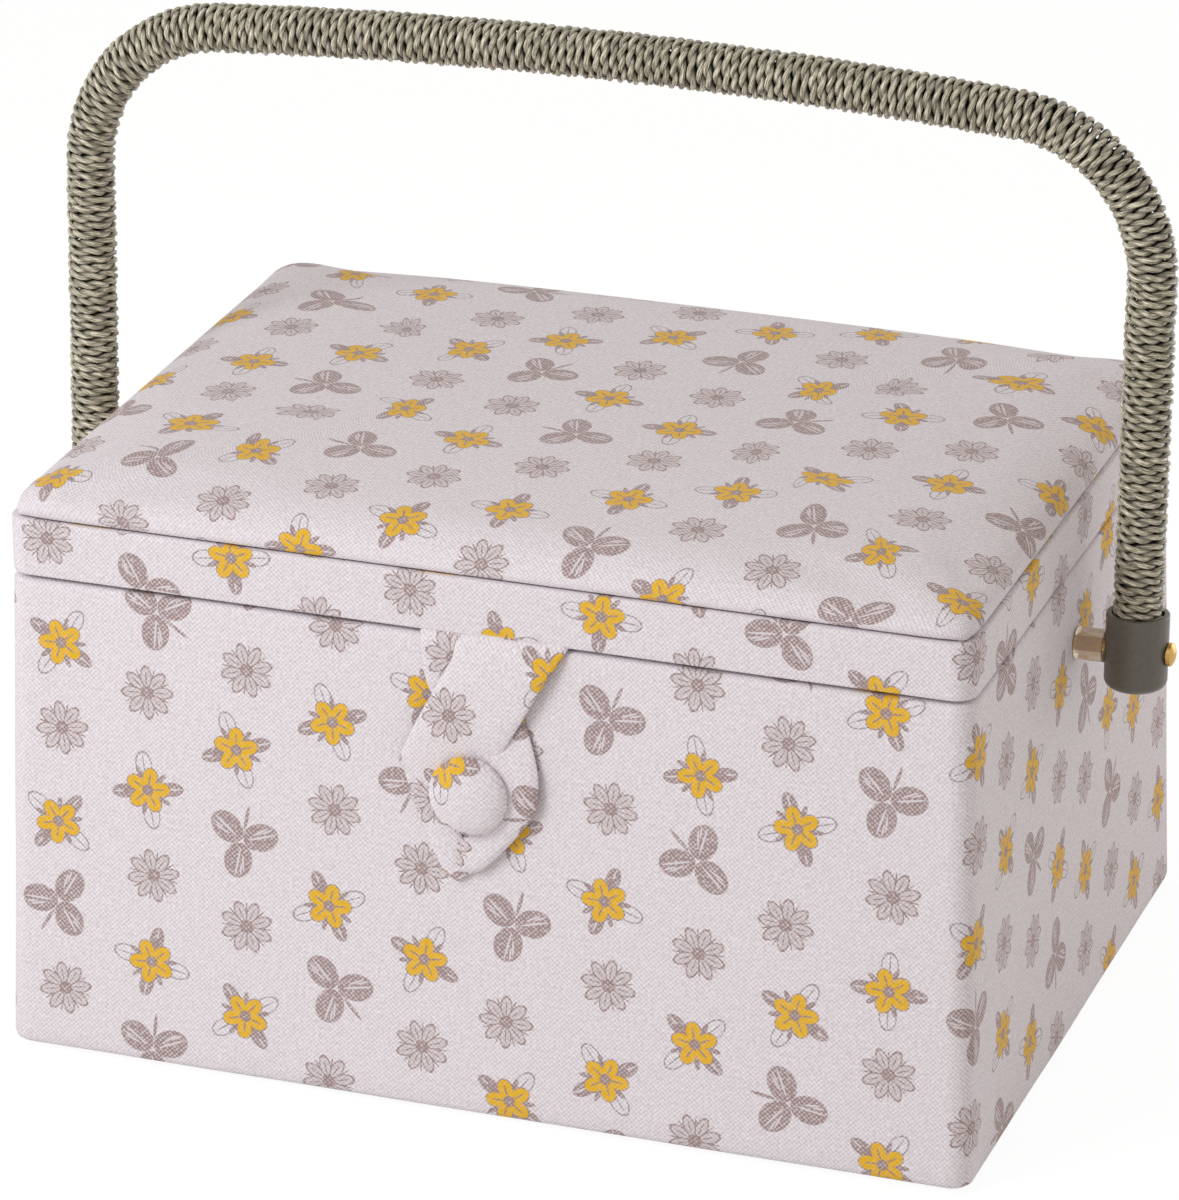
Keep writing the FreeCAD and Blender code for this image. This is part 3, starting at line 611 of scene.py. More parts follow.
def pad_section(section, half, middle, corner, step, underside=None, growth=1.0):
    """Grid points of cloth drawn over a pad, and their places on the flat cloth."""
    section = np.array([*section, (min(half), section[-1][1])], float)
    lengths = np.concatenate(([0.0], np.cumsum(np.hypot(*np.diff(section, axis=0).T))))
    flat_half = np.array(half) - section[-1, 0] + lengths[-1]
    counts = np.maximum(np.round(2 * flat_half / step).astype(int), 4)
    flat_x, flat_y = np.meshgrid(*(np.linspace(-size, size, count + 1)
                                   for size, count in zip(flat_half, counts)))
    depth = np.minimum(flat_half[0] - abs(flat_x), flat_half[1] - abs(flat_y))
    if underside is None:
        inset, height = np.interp(depth, lengths, section[:, 0]), np.interp(depth, lengths, section[:, 1])
    else:
        inset = section[0, 0] + depth * (min(half) - section[0, 0]) / min(flat_half)
        height = np.full_like(depth, underside)
    ring_x, ring_y = half[0] - inset, half[1] - inset
    x = flat_x * ring_x / np.maximum(flat_half[0] - depth, 1e-6)
    y = flat_y * ring_y / np.maximum(flat_half[1] - depth, 1e-6)
    radius = np.minimum(corner + inset * growth, corner_limit_share * np.minimum(ring_x, ring_y))
    over_x, over_y = abs(x) - (ring_x - radius), abs(y) - (ring_y - radius)
    pulled = np.where((over_x > 0) & (over_y > 0), radius / np.maximum(np.hypot(over_x, over_y), 1e-6), 1.0)
    x = np.sign(x) * (abs(x) - np.maximum(over_x, 0) * (1 - np.minimum(pulled, 1.0)))
    y = np.sign(y) * (abs(y) - np.maximum(over_y, 0) * (1 - np.minimum(pulled, 1.0)))
    points = np.stack((x + middle[0], y + middle[1], height), axis=-1)
    return points, np.stack((flat_x, flat_y), axis=-1)


# %% Sewing and swelling
seam_gap = 0.02
swell_pressure, swell_frames = 4.0, 20


def sew(piece, gap, *others):
    """Joins a piece and others where they meet within a gap into one closed mesh, with its faces outwards."""
    shell = bmesh.new()
    for part in (piece, *others):
        shell.from_mesh(part.data)
    bmesh.ops.remove_doubles(shell, verts=shell.verts, dist=gap * MM)
    bmesh.ops.holes_fill(shell, edges=shell.edges)
    bmesh.ops.recalc_face_normals(shell, faces=shell.faces)
    shell.to_mesh(piece.data)
    shell.free()
    for part in others:
        bpy.data.objects.remove(part)
    piece.data.shade_smooth()
    return piece


def swell(piece, held, most):
    """Blows a closed pad up as cloth; held tests which points are sewn down, most is the limit in mm."""
    rest = np.array([vertex.co for vertex in piece.data.vertices])
    group = piece.vertex_groups.new(name="sewn_down")
    group.add([index for index, point in enumerate(rest / MM) if held(point)], 1.0, "REPLACE")
    cloth = piece.modifiers.new("stuffing", "CLOTH")
    cloth.settings.vertex_group_mass = group.name
    cloth.settings.use_pressure = True
    cloth.settings.uniform_pressure_force = swell_pressure
    cloth.settings.effector_weights.gravity = 0.0
    cloth.point_cache.frame_start, cloth.point_cache.frame_end = 1, swell_frames
    for number in range(1, swell_frames + 1):
        bpy.context.scene.frame_set(number)
    blown = piece.evaluated_get(bpy.context.evaluated_depsgraph_get())
    moved = np.array([vertex.co for vertex in blown.data.vertices]) - rest
    piece.modifiers.remove(cloth)
    piece.vertex_groups.clear()
    reach = np.linalg.norm(moved, axis=1)
    moved *= np.minimum(1.0, most * MM / np.maximum(reach, 1e-9))[:, None]
    piece.data.vertices.foreach_set("co", (rest + moved).astype(np.float32).ravel())
    piece.data.update()
    bpy.context.scene.frame_set(1)
    print(f"{piece.name}: swelled by up to {reach.max() / MM:.1f} mm, kept to {most} mm")


def smooth(piece):
    """One subdivision, the same in the view and in the render."""
    subdivided = piece.modifiers.new("smooth", "SUBSURF")
    subdivided.levels = subdivided.render_levels = 1


def stuffed_pad(name, shape, underside, held, most, shift=(0.0, 0.0)):
    """A closed pad from its section and a flat underside, blown up and smoothed."""
    top_points, top_flat = shape()
    under_points, under_flat = shape(underside=underside)
    pad = sew(grid_mesh(name, top_points, top_flat + np.array(shift)), seam_gap,
              grid_mesh(name + "_under", under_points, under_flat))
    swell(pad, held, most)
    smooth(pad)
    return pad


# %% [markdown]
# ## Lid cushion
# Wadding under a tight canvas top: it rises steeply from the crease above the band, rolls over and crowns
# gently to the middle. It starts a little lower than the finished cushion, because the simulation lifts it.

# %% Lid cushion
pad_low, pad_high = box_mm("lid_top_cover")
pad_clearance = 0.1
pad_half = pad_high[:2] - pad_clearance
pad_middle = (pad_low[:2] + pad_high[:2]) / 2
roll_width, roll_rise, side_rise = 11.0, 7.8, 1.4
crown_rise, crown_reach = 2.0, 48.0
pad_step, pad_growth_share = 4.5, 0.4
sewn_rise, pad_swell_limit = 0.9, 1.6
pad_print_start = (811.0, 260.0)
pad_outline = [(0.2, pad_low[2]), (0.04, pad_low[2] + 0.4)]
for angle in np.radians(np.linspace(0, 90, 9)):
    pad_outline.append((roll_width * (1 - math.cos(angle)),
                        pad_low[2] + side_rise + roll_rise * math.sin(angle)))
for share in np.linspace(0.1, 1.0, 10):
    pad_outline.append((roll_width + crown_reach * share,
                        pad_low[2] + side_rise + roll_rise + crown_rise * math.sin(share * math.pi / 2)))
pad_shape = partial(pad_section, pad_outline, pad_half, pad_middle, outer_corner, pad_step,
                    growth=pad_growth_share)
lid_cushion = stuffed_pad("lid_cushion", pad_shape, pad_low[2],
                          lambda point: point[2] < pad_low[2] + sewn_rise, pad_swell_limit, pad_print_start)
dress(lid_cushion, canvas, "printed_cotton", "lid", "lid_padding", "lid_top_cover")
print("lid cushion:", len(lid_cushion.data.polygons), "faces")

# %% [markdown]
# ## Closing strap
# A folded strip of canvas comes out of the seam under the lid, goes round the button, crosses itself and
# goes back into the seam. Its folds are what shows, so it isn't simulated. Each strand is a ribbon between
# two listed edges, given as how far across and how far down the sloping front they lie, in
# millimetres. Two short lists give its lift off the wall and its crown, so that the strands lie over each
# other in the order in which they cross, with a real hole for the button's shank.

# %% Front wall
front_lean = math.atan2(cover_high[1] - band_high[1], rim_z - cover_low[2])
front_down = np.array((0.0, -math.sin(front_lean), -math.cos(front_lean)))
front_out = np.array((0.0, -math.cos(front_lean), math.sin(front_lean)))
front_rim = np.array((0.0, -band_high[1], rim_z))


def on_front(across, drop, lift):
    """A point on the front wall: across from the middle, down from the rim and out from the cloth."""
    return front_rim + np.array((across, 0.0, 0.0)) + front_down * drop + front_out * lift


print(f"front wall: leans {math.degrees(front_lean):.2f} degrees")

# %% Strands
strand_rows, strand_columns = 56, 14
smoothing_passes = 3
flatness, edge_roundness = 3.5, 0.6


def edge_line(stops):
    """Evenly spaced points along a smooth line through a few given stops."""
    stops = np.array(stops, float)
    reach = np.concatenate(([0.0], np.cumsum(np.linalg.norm(np.diff(stops, axis=0), axis=1))))
    even = np.linspace(0, reach[-1], strand_rows)
    line = np.column_stack([np.interp(even, reach, column) for column in stops.T])
    for _ in range(smoothing_passes):
        line[1:-1] = (line[:-2] + 2 * line[1:-1] + line[2:]) / 4
    return line


def strand(name, left, right, lift, crown, shift):
    """A crowned ribbon of folded cloth between two edges; lift and crown list their heights along its run."""
    left_line, right_line = edge_line(left), edge_line(right)
    shares = np.linspace(0, 1, strand_columns)
    section = (1 - abs(2 * shares - 1) ** flatness) ** edge_roundness
    run = np.linspace(0, 1, strand_rows)
    lifts, crowns = (np.interp(run, *np.array(stops).T) for stops in (lift, crown))
    points, flat = [], []
    for row in range(strand_rows):
        spots = left_line[row] + np.outer(shares, right_line[row] - left_line[row])
        points.append([on_front(across, drop, lifts[row] + crowns[row] * rise)
                       for (across, drop), rise in zip(spots, section)])
        flat.append([(shift[0] + across, shift[1] - drop) for across, drop in spots])
    piece = grid_mesh(name, np.array(points), np.array(flat))
    thicken(piece, cloth_thickness)
    smooth(piece)
    dress(piece, canvas, "printed_cotton", "loop")
    return piece


# %% Closing strap
strap = strand("strap_main",
               [(-5.5, -1.0), (-6.0, 5.0), (-12.4, 17.0), (-16.8, 25.7), (-21.0, 35.3), (-12.6, 41.2)],
               [(24.7, -1.0), (18.5, 9.4), (13.2, 19.2), (5.3, 33.1), (3.5, 35.0)],
               lift=[(0.0, -1.0), (0.03, 0.2), (0.08, 1.2), (0.25, 2.3), (0.6, 2.5), (0.85, 2.0), (1.0, 1.9)],
               crown=[(0.0, 0.3), (0.1, 0.7), (1.0, 0.7)], shift=(1192.5, 344.5))
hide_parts("closure_loop")
strand("strap_crossing",
       [(-15.7, -1.0), (-14.6, 9.3), (-13.0, 15.0), (-6.0, 24.0), (2.5, 30.0), (6.6, 36.0), (7.3, 41.0),
        (5.8, 47.0), (0.8, 50.4), (-4.6, 56.0)],
       [(6.0, -1.0), (8.5, 8.0), (12.6, 18.5), (15.2, 26.5), (17.0, 33.0), (17.4, 38.0), (17.0, 43.5),
        (13.2, 49.4), (6.8, 57.2), (1.0, 63.4), (-4.8, 63.6)],
       lift=[(0.0, -1.0), (0.03, 0.1), (0.1, 0.4), (0.36, 0.6), (0.52, 1.8), (0.85, 1.7), (1.0, 1.0)],
       crown=[(0.0, 0.3), (0.38, 0.5), (0.55, 1.3), (1.0, 1.2)], shift=(1318.5, 469.0))
strand("strap_lower_left",
       [(-20.8, 34.0), (-17.3, 45.4), (-14.1, 53.2), (-11.4, 59.4), (-8.7, 64.5), (-5.0, 66.8)],
       [(-9.0, 36.0), (-8.0, 46.0), (-5.0, 52.0), (-2.0, 58.0), (-1.0, 64.0)],
       lift=[(0.0, 0.2), (0.3, 0.4), (1.0, 0.3)], crown=[(0.0, 0.5), (0.4, 0.9), (1.0, 0.6)],
       shift=(1298.0, 371.0))

# %% Strap root
tab_low, tab_high = box_mm("strap_tab")
tab_sink, tab_ripple, ripple_length = 0.15, 0.1, 3.0
tab_x, tab_y = np.meshgrid(np.linspace(tab_low[0], tab_high[0], 12), np.linspace(tab_low[1], tab_high[1], 6))
tab_z = tab_high[2] - tab_sink - tab_ripple * np.sin(tab_x / ripple_length)
strap_root = grid_mesh("strap_root", np.stack((tab_x, tab_y, tab_z), axis=-1),
                       np.stack((tab_x, tab_y), axis=-1))
thicken(strap_root, cloth_thickness)
dress(strap_root, canvas, "printed_cotton", "lid", "strap_tab")
print("strap root:", len(strap_root.data.polygons), "faces")

# %% [markdown]
# ## Covered button
# A plastic dome with a disc of canvas drawn over it and gathered behind. It is turned from a section, with
# the gathers as a fine ripple near the rim. Its back narrows towards the shank, so that the rim stands
# clear of the strap.

# %% Covered button
button_across, button_drop = -0.7, 41.0
button_radius, button_seat, button_rim, button_crown = 10.6, 3.5, 1.3, 4.2
button_print_middle = np.array((1517.5, 403.0))
crown_gap = 0.1
# radius and lift: the back round the shank, the underside of the rim, then the dome
button_section = [(3.0, 2.6), (6.5, 2.9), (button_radius - 1.0, button_seat + 0.1),
                  (button_radius - 0.2, button_seat + 0.6)]
for angle in np.radians(np.linspace(0, 89.5, 14)):
    button_section.append((button_radius * math.cos(angle),
                           button_seat + button_rim + button_crown * math.sin(angle)))
button_turn = np.linspace(0, math.tau, 73)
gathers, gather_depth = 22, 0.12
button_points, button_flat = [], []
for radius, lift in button_section:
    near_rim = (radius / button_radius) ** 10
    spread = [radius + gather_depth * near_rim * math.sin(gathers * angle) for angle in button_turn]
    button_points.append([on_front(button_across + size * math.cos(angle),
                                   button_drop - size * math.sin(angle), lift)
                          for size, angle in zip(spread[:-1], button_turn[:-1])])
    button_flat.append([button_print_middle + size * np.array((math.cos(angle), math.sin(angle)))
                        for size, angle in zip(spread, button_turn)])
covered_button = sew(grid_mesh("covered_button", np.array(button_points), np.array(button_flat), wrap=True),
                     crown_gap)
dress(covered_button, canvas, "printed_cotton", "box", "button_dome")
print("covered button:", len(covered_button.data.polygons), "faces")

# %% [markdown]
# ## Cloth hinge
# A strip of canvas glued along the back joins the lid to the box. It bends when the lid opens; here it is
# one mesh that blends from the box to the lid across the fold, as it lies with the lid shut, on neither body.

# %% Cloth hinge
hinge_low, hinge_mid = box_mm("hinge_cloth_lower")
_, hinge_high = box_mm("hinge_cloth_upper")
leaf_inset, fold_inset, lower_leaf_lift = 0.05, 0.1, 0.55
leaf_y = hinge_high[1] - leaf_inset
fold_y = hinge_mid[1] - fold_inset
fold_z = (rim_z + band_bottom) / 2
hinge_thickness, blend_half, hinge_print_start = 0.45, 2.5, 611.0
hinge_section = [(wall_half(height)[1] + lower_leaf_lift, height)
                 for height in np.linspace(hinge_low[2], fold_z - 4, 6)]
hinge_section += [(leaf_y + 0.2, fold_z - 2.0), (fold_y - 0.4, fold_z - 0.9), (fold_y, fold_z),
                  (fold_y - 0.4, fold_z + 0.9), (leaf_y + 0.1, fold_z + 2.0)]
hinge_section += [(leaf_y, height) for height in np.linspace(fold_z + 4, hinge_high[2], 5)]
hinge_xs = np.linspace(hinge_mid[0], hinge_low[0], 70)
hinge_points = np.array([[(x, y, z) for x in hinge_xs] for y, z in hinge_section])
hinge_flat = np.array([[(-x, z + hinge_print_start) for x in hinge_xs] for _, z in hinge_section])
hinge_cloth = grid_mesh("hinge_cloth", hinge_points, hinge_flat)
thicken(hinge_cloth, hinge_thickness)
dress(hinge_cloth, canvas, "printed_cotton", None, "hinge_cloth_lower", "hinge_cloth_upper")
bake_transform(hinge_cloth)
print("cloth hinge: fold at height", round(fold_z, 2), "mm")

# %% [markdown]
# ## Linings
# Inside, a lightly padded plain cloth covers the walls, the floor and the underside of the lid. It could be
# a paler finish on the boards, but then an open lid would show bare corners. So it is cloth with rounded
# corners and a thickness, made with the ring and pad helpers.

# %% Wall lining
lining_low, lining_high = box_mm("wall_lining")
lining_inset, lining_corner = 7.45, 9.0
lining_thickness, lining_growth_share, fold_corner = 1.0, 0.1, 3.0
lining_levels = [(lining_inset, height)
                 for height in np.linspace(lining_low[2] + 0.4, lining_high[2] - 0.6, 30)]
wall_lining, lining_cut = ring_wall("wall_lining_cloth", lining_levels, swell=0.18, corner=lining_corner)
wall_lining.data.flip_normals()
thicken(wall_lining, lining_thickness)
dress(wall_lining, lining_cotton, "lining_cotton", "box", "wall_lining")

# %% Floor lining
floor_pad_low, floor_pad_high = box_mm("floor_lining")
floor_pad_outline = [(0.3, floor_pad_low[2] + 0.1), (0.4, floor_pad_high[2] - 0.7),
                     (1.2, floor_pad_high[2] - 0.1), (30.0, floor_pad_high[2])]
floor_pad_step = 6.0
lining_pad = partial(pad_section, middle=(0.0, 0.0), corner=fold_corner, growth=lining_growth_share)
floor_lining = grid_mesh("floor_lining_cloth",
                         *lining_pad(floor_pad_outline, floor_pad_high[:2], step=floor_pad_step))
thicken(floor_lining, lining_thickness)
dress(floor_lining, lining_cotton, "lining_cotton", "box", "floor_lining")
print("floor lining:", len(floor_lining.data.polygons), "faces")

# %% Lid lining
lid_lining_low, lid_lining_high = box_mm("lid_lining")
cushion_low, cushion_high = box_mm("pincushion")
ceiling = cushion_high[2]
lid_room_inset = lid_lining_high[2] - ceiling
lid_turn_down, ceiling_step = 10.0, 5.0
ceiling_outline = [(lid_room_inset, lid_lining_low[2] + 0.05), (lid_room_inset, ceiling - 2.2),
                   (lid_room_inset + 0.6, ceiling - 0.7), (lid_room_inset + 2.2, ceiling),
                   (lid_room_inset + 40, ceiling)]
lid_lining = grid_mesh("lid_lining_cloth",
                       *lining_pad(ceiling_outline, lid_lining_high[:2], step=ceiling_step))
lid_lining.data.flip_normals()
thicken(lid_lining, lining_thickness)
dress(lid_lining, lining_cotton, "lining_cotton", "lid", "lid_lining")
print("lid lining:", len(lid_lining.data.polygons), "faces")

# %% [markdown]
# ## Pincushion
# A small mauve pincushion is sewn to the lid's lining. It could be a flattened ball, but a stuffed pad has a
# sewn edge and a flat back. So it is a pad like the lid's, upside down, and it swells into the box.

# %% Pincushion
cushion_half = (cushion_high - cushion_low)[:2] / 2
cushion_middle = (cushion_high + cushion_low)[:2] / 2
cushion_room, cushion_edge, cushion_roll = 1.4, 2.0, 22.0
cushion_corner, cushion_step = 8.0, 3.0
cushion_sewn_rise, cushion_swell_limit = 1.2, 1.2
cushion_drop = cushion_high[2] - cushion_low[2] - cushion_room
cushion_outline = [(1.6, ceiling), (0.5, ceiling - 0.7), (0.15, ceiling - 1.5)]
for angle in np.radians(np.linspace(0, 90, 9)):
    cushion_outline.append((cushion_roll * (1 - math.cos(angle)),
                            ceiling - cushion_edge - (cushion_drop - cushion_edge) * math.sin(angle)))
cushion_shape = partial(pad_section, cushion_outline, cushion_half, cushion_middle, cushion_corner,
                        cushion_step)
pincushion = stuffed_pad("pincushion_pad", cushion_shape, ceiling,
                         lambda point: point[2] > ceiling - cushion_sewn_rise, cushion_swell_limit)
dress(pincushion, pincushion_cotton, "pincushion_cloth", "lid", "pincushion")
print("pincushion:", len(pincushion.data.polygons), "faces")

# %% [markdown]
# ## Wound handle
# Two-ply paper cord is wound close round the steel core, about 225 turns from cap to cap. Placing each turn
# by hand is out of the question and a picture of cord would be flat, so Geometry Nodes wind it: the
# handle's line is sampled at even steps, each step turns a little further round the line, and each ply
# circles the cord's own centre. Both plies become tubes. Their run, their angle and their height above the
# core are stored, so that the material can draw fibres along them and paint shade on them towards the gaps.

# %% Paper cord
ply_relief = 0.12
streaks_per_mm, streaks_round, patches_per_mm = 0.16, 3.0, 0.05
pale_streaks, dark_streaks = (0.46, 0.62), (0.48, 0.28)
streak_span, streak_polish = (0.3, 0.7), (0.42, 0.24)
gap_span, gap_shade = (0.85, 0.1), 0.95
cord_deep, cord_light = "#837D66", "#ABA48C"
pale_fibre_highlight, fibre_dark, painted_gap_shadow = "#FBF3DF", "#5A5341", "#2B2517"


def paper_cord():
    """Glossy twisted paper: fibre streaks along each ply, the pale ones partly a painted highlight, and
    painted shade where it turns under its neighbour.
    """
    material, tree, shader = new_material("twisted_paper_cord", Specular_IOR_Level=0.5)
    node = partial(add, tree)
    run = node("Attribute", attribute_name="run", out=2)
    around = node("Attribute", attribute_name="around", out=2)
    turned = node("Math.MULTIPLY", around, math.tau)
    # one cylinder of noise, so that the streaks close round the ply
    streak_place = node("CombineXYZ", node("Math.COSINE", turned),
                        node("Math.SINE", turned), node("Math.MULTIPLY", run, streaks_per_mm / MM))
    streak = node("TexNoise", streak_place, named={"Scale": streaks_round, "Detail": 3.0, "Roughness": 0.65})
    patch = node("TexNoise", node("CombineXYZ", run, 0.0, 0.0),
                 named={"Scale": patches_per_mm / MM, "Detail": 1.0})
    tone = node("Mix", patch, named={6: linear(cord_deep), 7: linear(cord_light)}, **RGBA)
    pale = node("MapRange", streak, *pale_streaks)
    dark = node("MapRange", streak, *dark_streaks)
    # pale streaks are the paper's own fibres, and their near-white colour is also a painted highlight
    lighter = node("Mix", pale, named={6: tone, 7: linear(pale_fibre_highlight)}, **RGBA)
    colour = node("Mix", dark, named={6: lighter, 7: linear(fibre_dark)}, **RGBA)
    # painted shade: the cord darkens where it lies low, towards the gaps between the plies and the turns
    height = node("Attribute", attribute_name="height", out=2)
    gap_shade_share = node("MapRange", height, *gap_span, 0.0, gap_shade)
    colour = node("Mix", gap_shade_share, named={6: colour, 7: linear(painted_gap_shadow)}, **RGBA)
    polish = node("MapRange", streak, *streak_span, *streak_polish)
    raised = node("Bump", named={"Strength": 0.5, "Distance": ply_relief * MM, "Height": streak})
    wire(tree, shader, Base_Color=colour, Roughness=polish, Normal=raised)
    return material


cord_paper = paper_cord()
print("paper cord:", len(cord_paper.node_tree.nodes), "nodes")

# %% [markdown]
# ### The line it follows
# The cord follows the steel core: an upright leg, a bend and half of the slightly arched bar. The line could
# be taken from the core's mesh, but that only has points on its skin. So it is drawn again from the core's
# own sizes, and the other half is its mirror image.

# %% Handle line
cord_pitch = 2.35
pivot_z = (box_mm("pivot_bolt_left")[0][2] + box_mm("pivot_bolt_left")[1][2]) / 2
foot_x = (box_mm("handle_cap_right")[0][0] + box_mm("handle_cap_right")[1][0]) / 2
leg_height, bend_radius = 100.7, 40.0
bar_slope, handle_lean = math.radians(4.1), math.radians(2.6)
winding_lead, line_steps = 5.6, 60


def handle_half():
    """The handle's middle line from the left cap to the middle of the bar, leaning a little back."""
    inner = foot_x - bend_radius
    bar_half = inner + bend_radius * math.sin(bar_slope)
    bar_end = leg_height + bend_radius * math.cos(bar_slope)
    bar_radius = bar_half / math.sin(bar_slope)
    leg = [(-foot_x, height) for height in np.linspace(winding_lead, leg_height, line_steps, endpoint=False)]
    bend = [(-inner + bend_radius * math.cos(angle), leg_height + bend_radius * math.sin(angle))
            for angle in np.linspace(math.pi, math.pi / 2 + bar_slope, line_steps, endpoint=False)]
    bar = [(bar_radius * math.cos(angle), bar_end + bar_radius * (math.sin(angle) - math.cos(bar_slope)))
           for angle in np.linspace(math.pi / 2 + bar_slope, math.pi / 2, line_steps)]
    return np.array([(x, rise * math.sin(handle_lean), pivot_z + rise * math.cos(handle_lean))
                     for x, rise in leg + bend + bar])


left_half = handle_half()
right_half = (left_half * np.array((-1.0, 1.0, 1.0)))[::-1]
half_turns = np.linalg.norm(np.diff(left_half, axis=0), axis=1).sum() / cord_pitch
print(f"handle: {2 * half_turns:.0f} turns of cord")

# %% [markdown]
# ### The winding
# Each size of the cord is an input of one node tree, so that the same tree winds both halves. The second
# half starts at the turn where the first one ends.

# %% Wound cord tree
ply_sides, second_ply_shift = 8, 1.7
wanders_per_turn = 1.7


def wound_cord_tree():
    """A node tree that winds two twisted plies round a line, with each of their sizes as an input."""
    tree = bpy.data.node_groups.new("wound_cord", "GeometryNodeTree")
    sizes = ("Pitch", "Winding Radius", "Ply Radius", "Ply Offset", "Twists", "Start Turn", "Steps",
             "Unevenness", "Twist Unevenness")
    kinds = {"Line": "Geometry", **dict.fromkeys(sizes, "Float"), "Plane Normal": "Vector",
             "Finish": "Material"}
    for label, kind in kinds.items():
        tree.interface.new_socket(label, in_out="INPUT", socket_type="NodeSocket" + kind)
    tree.interface.new_socket("Cord", in_out="OUTPUT", socket_type="NodeSocketGeometry")
    node = partial(add, tree)
    given = tree.nodes.new("NodeGroupInput").outputs
    line = node("GeometryNodeMeshToCurve", given["Line"])
    length = node("GeometryNodeCurveLength", line)
    turns = node("Math.DIVIDE", length, given["Pitch"])
    count = node("Math.MULTIPLY", turns, given["Steps"])
    steps = node("GeometryNodeResampleCurve", node("GeometryNodeCurvePrimitiveLine"), named={"Count": count},
                 mode="COUNT")
    share = node("Math.DIVIDE", node("GeometryNodeInputIndex"), node("Math.SUBTRACT", count, 1.0))
    reach = node("Math.MULTIPLY", share, length)
    sample = node("GeometryNodeSampleCurve", line, named={"Length": reach}, mode="LENGTH").node
    middle, heading = sample.outputs["Position"], sample.outputs["Tangent"]
    sideways = node("VectorMath.CROSS_PRODUCT", heading, given["Plane Normal"])
    turn = node("Math.ADD", node("Math.DIVIDE", reach, given["Pitch"]), given["Start Turn"])
    angle = node("Math.MULTIPLY", turn, math.tau)
    forwards = node("VectorMath.SCALE", given["Plane Normal"], named={"Scale": node("Math.COSINE", angle)})
    inwards = node("VectorMath.SCALE", sideways, named={"Scale": node("Math.SINE", angle)})
    outwards = node("VectorMath.ADD", forwards, inwards)
    wander = node("TexNoise", named={"W": turn, "Scale": wanders_per_turn, "Detail": 1.0},
                  noise_dimensions="1D", out=1)
    drift = node("SeparateXYZ", node("VectorMath.SUBTRACT", wander, (0.5, 0.5, 0.5)))
    lift = node("Math.MULTIPLY_ADD", drift, given["Unevenness"], given["Winding Radius"])
    shift = node("Math.MULTIPLY", drift.node.outputs[1], given["Unevenness"])
    run = node("Math.MULTIPLY", angle, given["Winding Radius"])
    ply_ring = node("GeometryNodeCurvePrimitiveCircle",
                    named={"Resolution": ply_sides, "Radius": given["Ply Radius"]})
    around = node("Math.DIVIDE", node("GeometryNodeInputIndex"), float(ply_sides))
    ply_ring = node("GeometryNodeStoreNamedAttribute", ply_ring, named={"Name": "around", "Value": around})
    plies = tree.nodes.new("GeometryNodeJoinGeometry")
    for ply in (0, 1):
        twist = node("Math.MULTIPLY_ADD", angle, given["Twists"], ply * math.pi)
        twist = node("Math.MULTIPLY_ADD", drift.node.outputs[2], given["Twist Unevenness"], twist)
        rise = node("Math.MULTIPLY_ADD", node("Math.COSINE", twist), given["Ply Offset"], lift)
        slide = node("Math.MULTIPLY_ADD", node("Math.SINE", twist), given["Ply Offset"], shift)
        above_line = node("VectorMath.SCALE", outwards, named={"Scale": rise})
        along_line = node("VectorMath.SCALE", heading, named={"Scale": slide})
        place = node("VectorMath.ADD", node("VectorMath.ADD", middle, above_line), along_line)
        wound = node("GeometryNodeSetPosition", steps, named={"Position": place})
        fibre_run = node("Math.ADD", run, ply * second_ply_shift)
        wound = node("GeometryNodeStoreNamedAttribute", wound, named={"Name": "run", "Value": fibre_run})
        tube = node("GeometryNodeCurveToMesh", wound, ply_ring, named={"Fill Caps": True})
        tree.links.new(tube, plies.inputs[0])
    whole = node("GeometryNodeRealizeInstances", plies.outputs[0])
    from_line = node("GeometryNodeProximity", given["Line"], target_element="EDGES", out=1)
    above = node("Math.SUBTRACT", from_line, given["Winding Radius"])
    reach_out = node("Math.ADD", given["Ply Radius"], given["Ply Offset"])
    height = node("Math.DIVIDE", above, reach_out)
    whole = node("GeometryNodeStoreNamedAttribute", whole, named={"Name": "height", "Value": height})
    whole = node("GeometryNodeSetShadeSmooth", whole)
    whole = node("GeometryNodeSetMaterial", whole, named={"Material": given["Finish"]})
    tree.links.new(whole, tree.nodes.new("NodeGroupOutput").inputs[0])
    return tree


cord_tree = wound_cord_tree()
print("winding:", len(cord_tree.nodes), "nodes")

# %% Winding
ply_radius, ply_offset = 0.8, 0.56
twists_per_turn, steps_per_turn = -3.83, 40.0
winding_radius = 5.4
cord_unevenness, twist_unevenness = 0.6, 5.0


def wind(name, line, start_turn):
    """Winds the cord along a line and returns it as a plain mesh object."""
    guide_mesh = bpy.data.meshes.new(name + "_line")
    guide_mesh.from_pydata((line * MM).tolist(), [(index, index + 1) for index in range(len(line) - 1)], [])
    guide = put(name + "_line", guide_mesh)
    winding = guide.modifiers.new("winding", "NODES")
    winding.node_group = cord_tree
    values = {"Pitch": cord_pitch * MM, "Winding Radius": winding_radius * MM, "Ply Radius": ply_radius * MM,
              "Ply Offset": ply_offset * MM, "Twists": twists_per_turn, "Start Turn": start_turn,
              "Steps": steps_per_turn, "Unevenness": cord_unevenness * MM,
              "Twist Unevenness": twist_unevenness,
              "Plane Normal": (0.0, -math.cos(handle_lean), math.sin(handle_lean)), "Finish": cord_paper}
    for socket in cord_tree.interface.items_tree:
        if socket.in_out == "INPUT" and socket.name in values:
            winding[socket.identifier] = values[socket.name]
    depsgraph = bpy.context.evaluated_depsgraph_get()
    wound = bpy.data.meshes.new_from_object(guide.evaluated_get(depsgraph), depsgraph=depsgraph)
    bpy.data.objects.remove(guide)
    wound.name = name
    piece = put(name, wound)
    print(f"{name}: {sum(len(face.vertices) - 2 for face in wound.polygons)} triangles")
    return piece


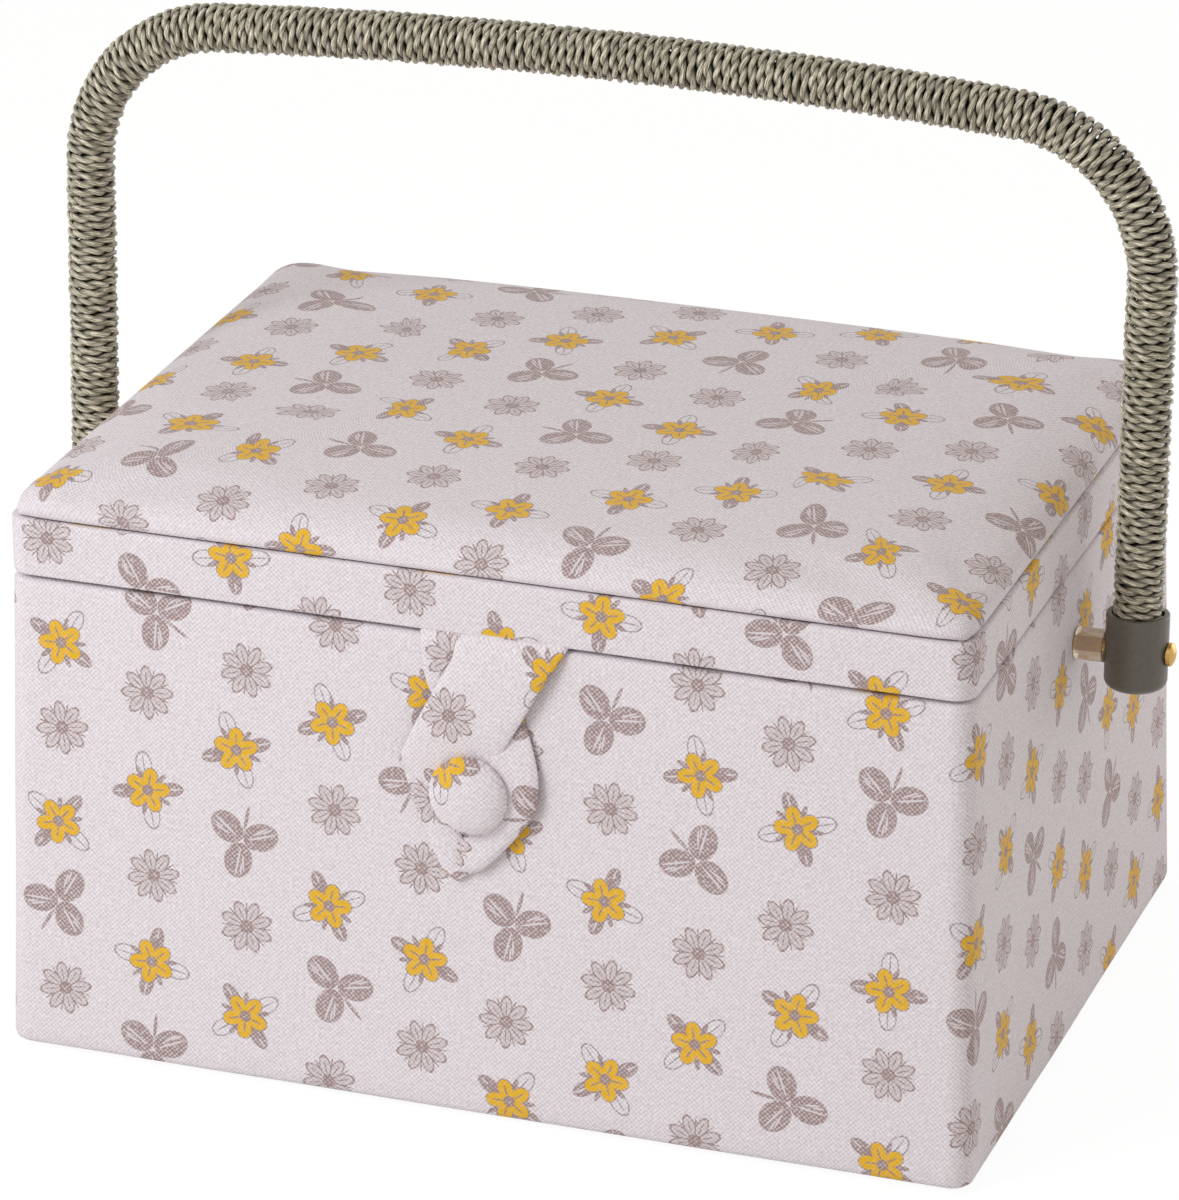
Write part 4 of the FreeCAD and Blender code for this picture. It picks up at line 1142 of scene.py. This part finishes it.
dress(wind("handle_cord_left", left_half, 0.0), cord_paper, "paper_cord", "handle", "handle_wrap_left")
dress(wind("handle_cord_right", right_half, half_turns), cord_paper, "paper_cord", "handle",
      "handle_wrap_right")
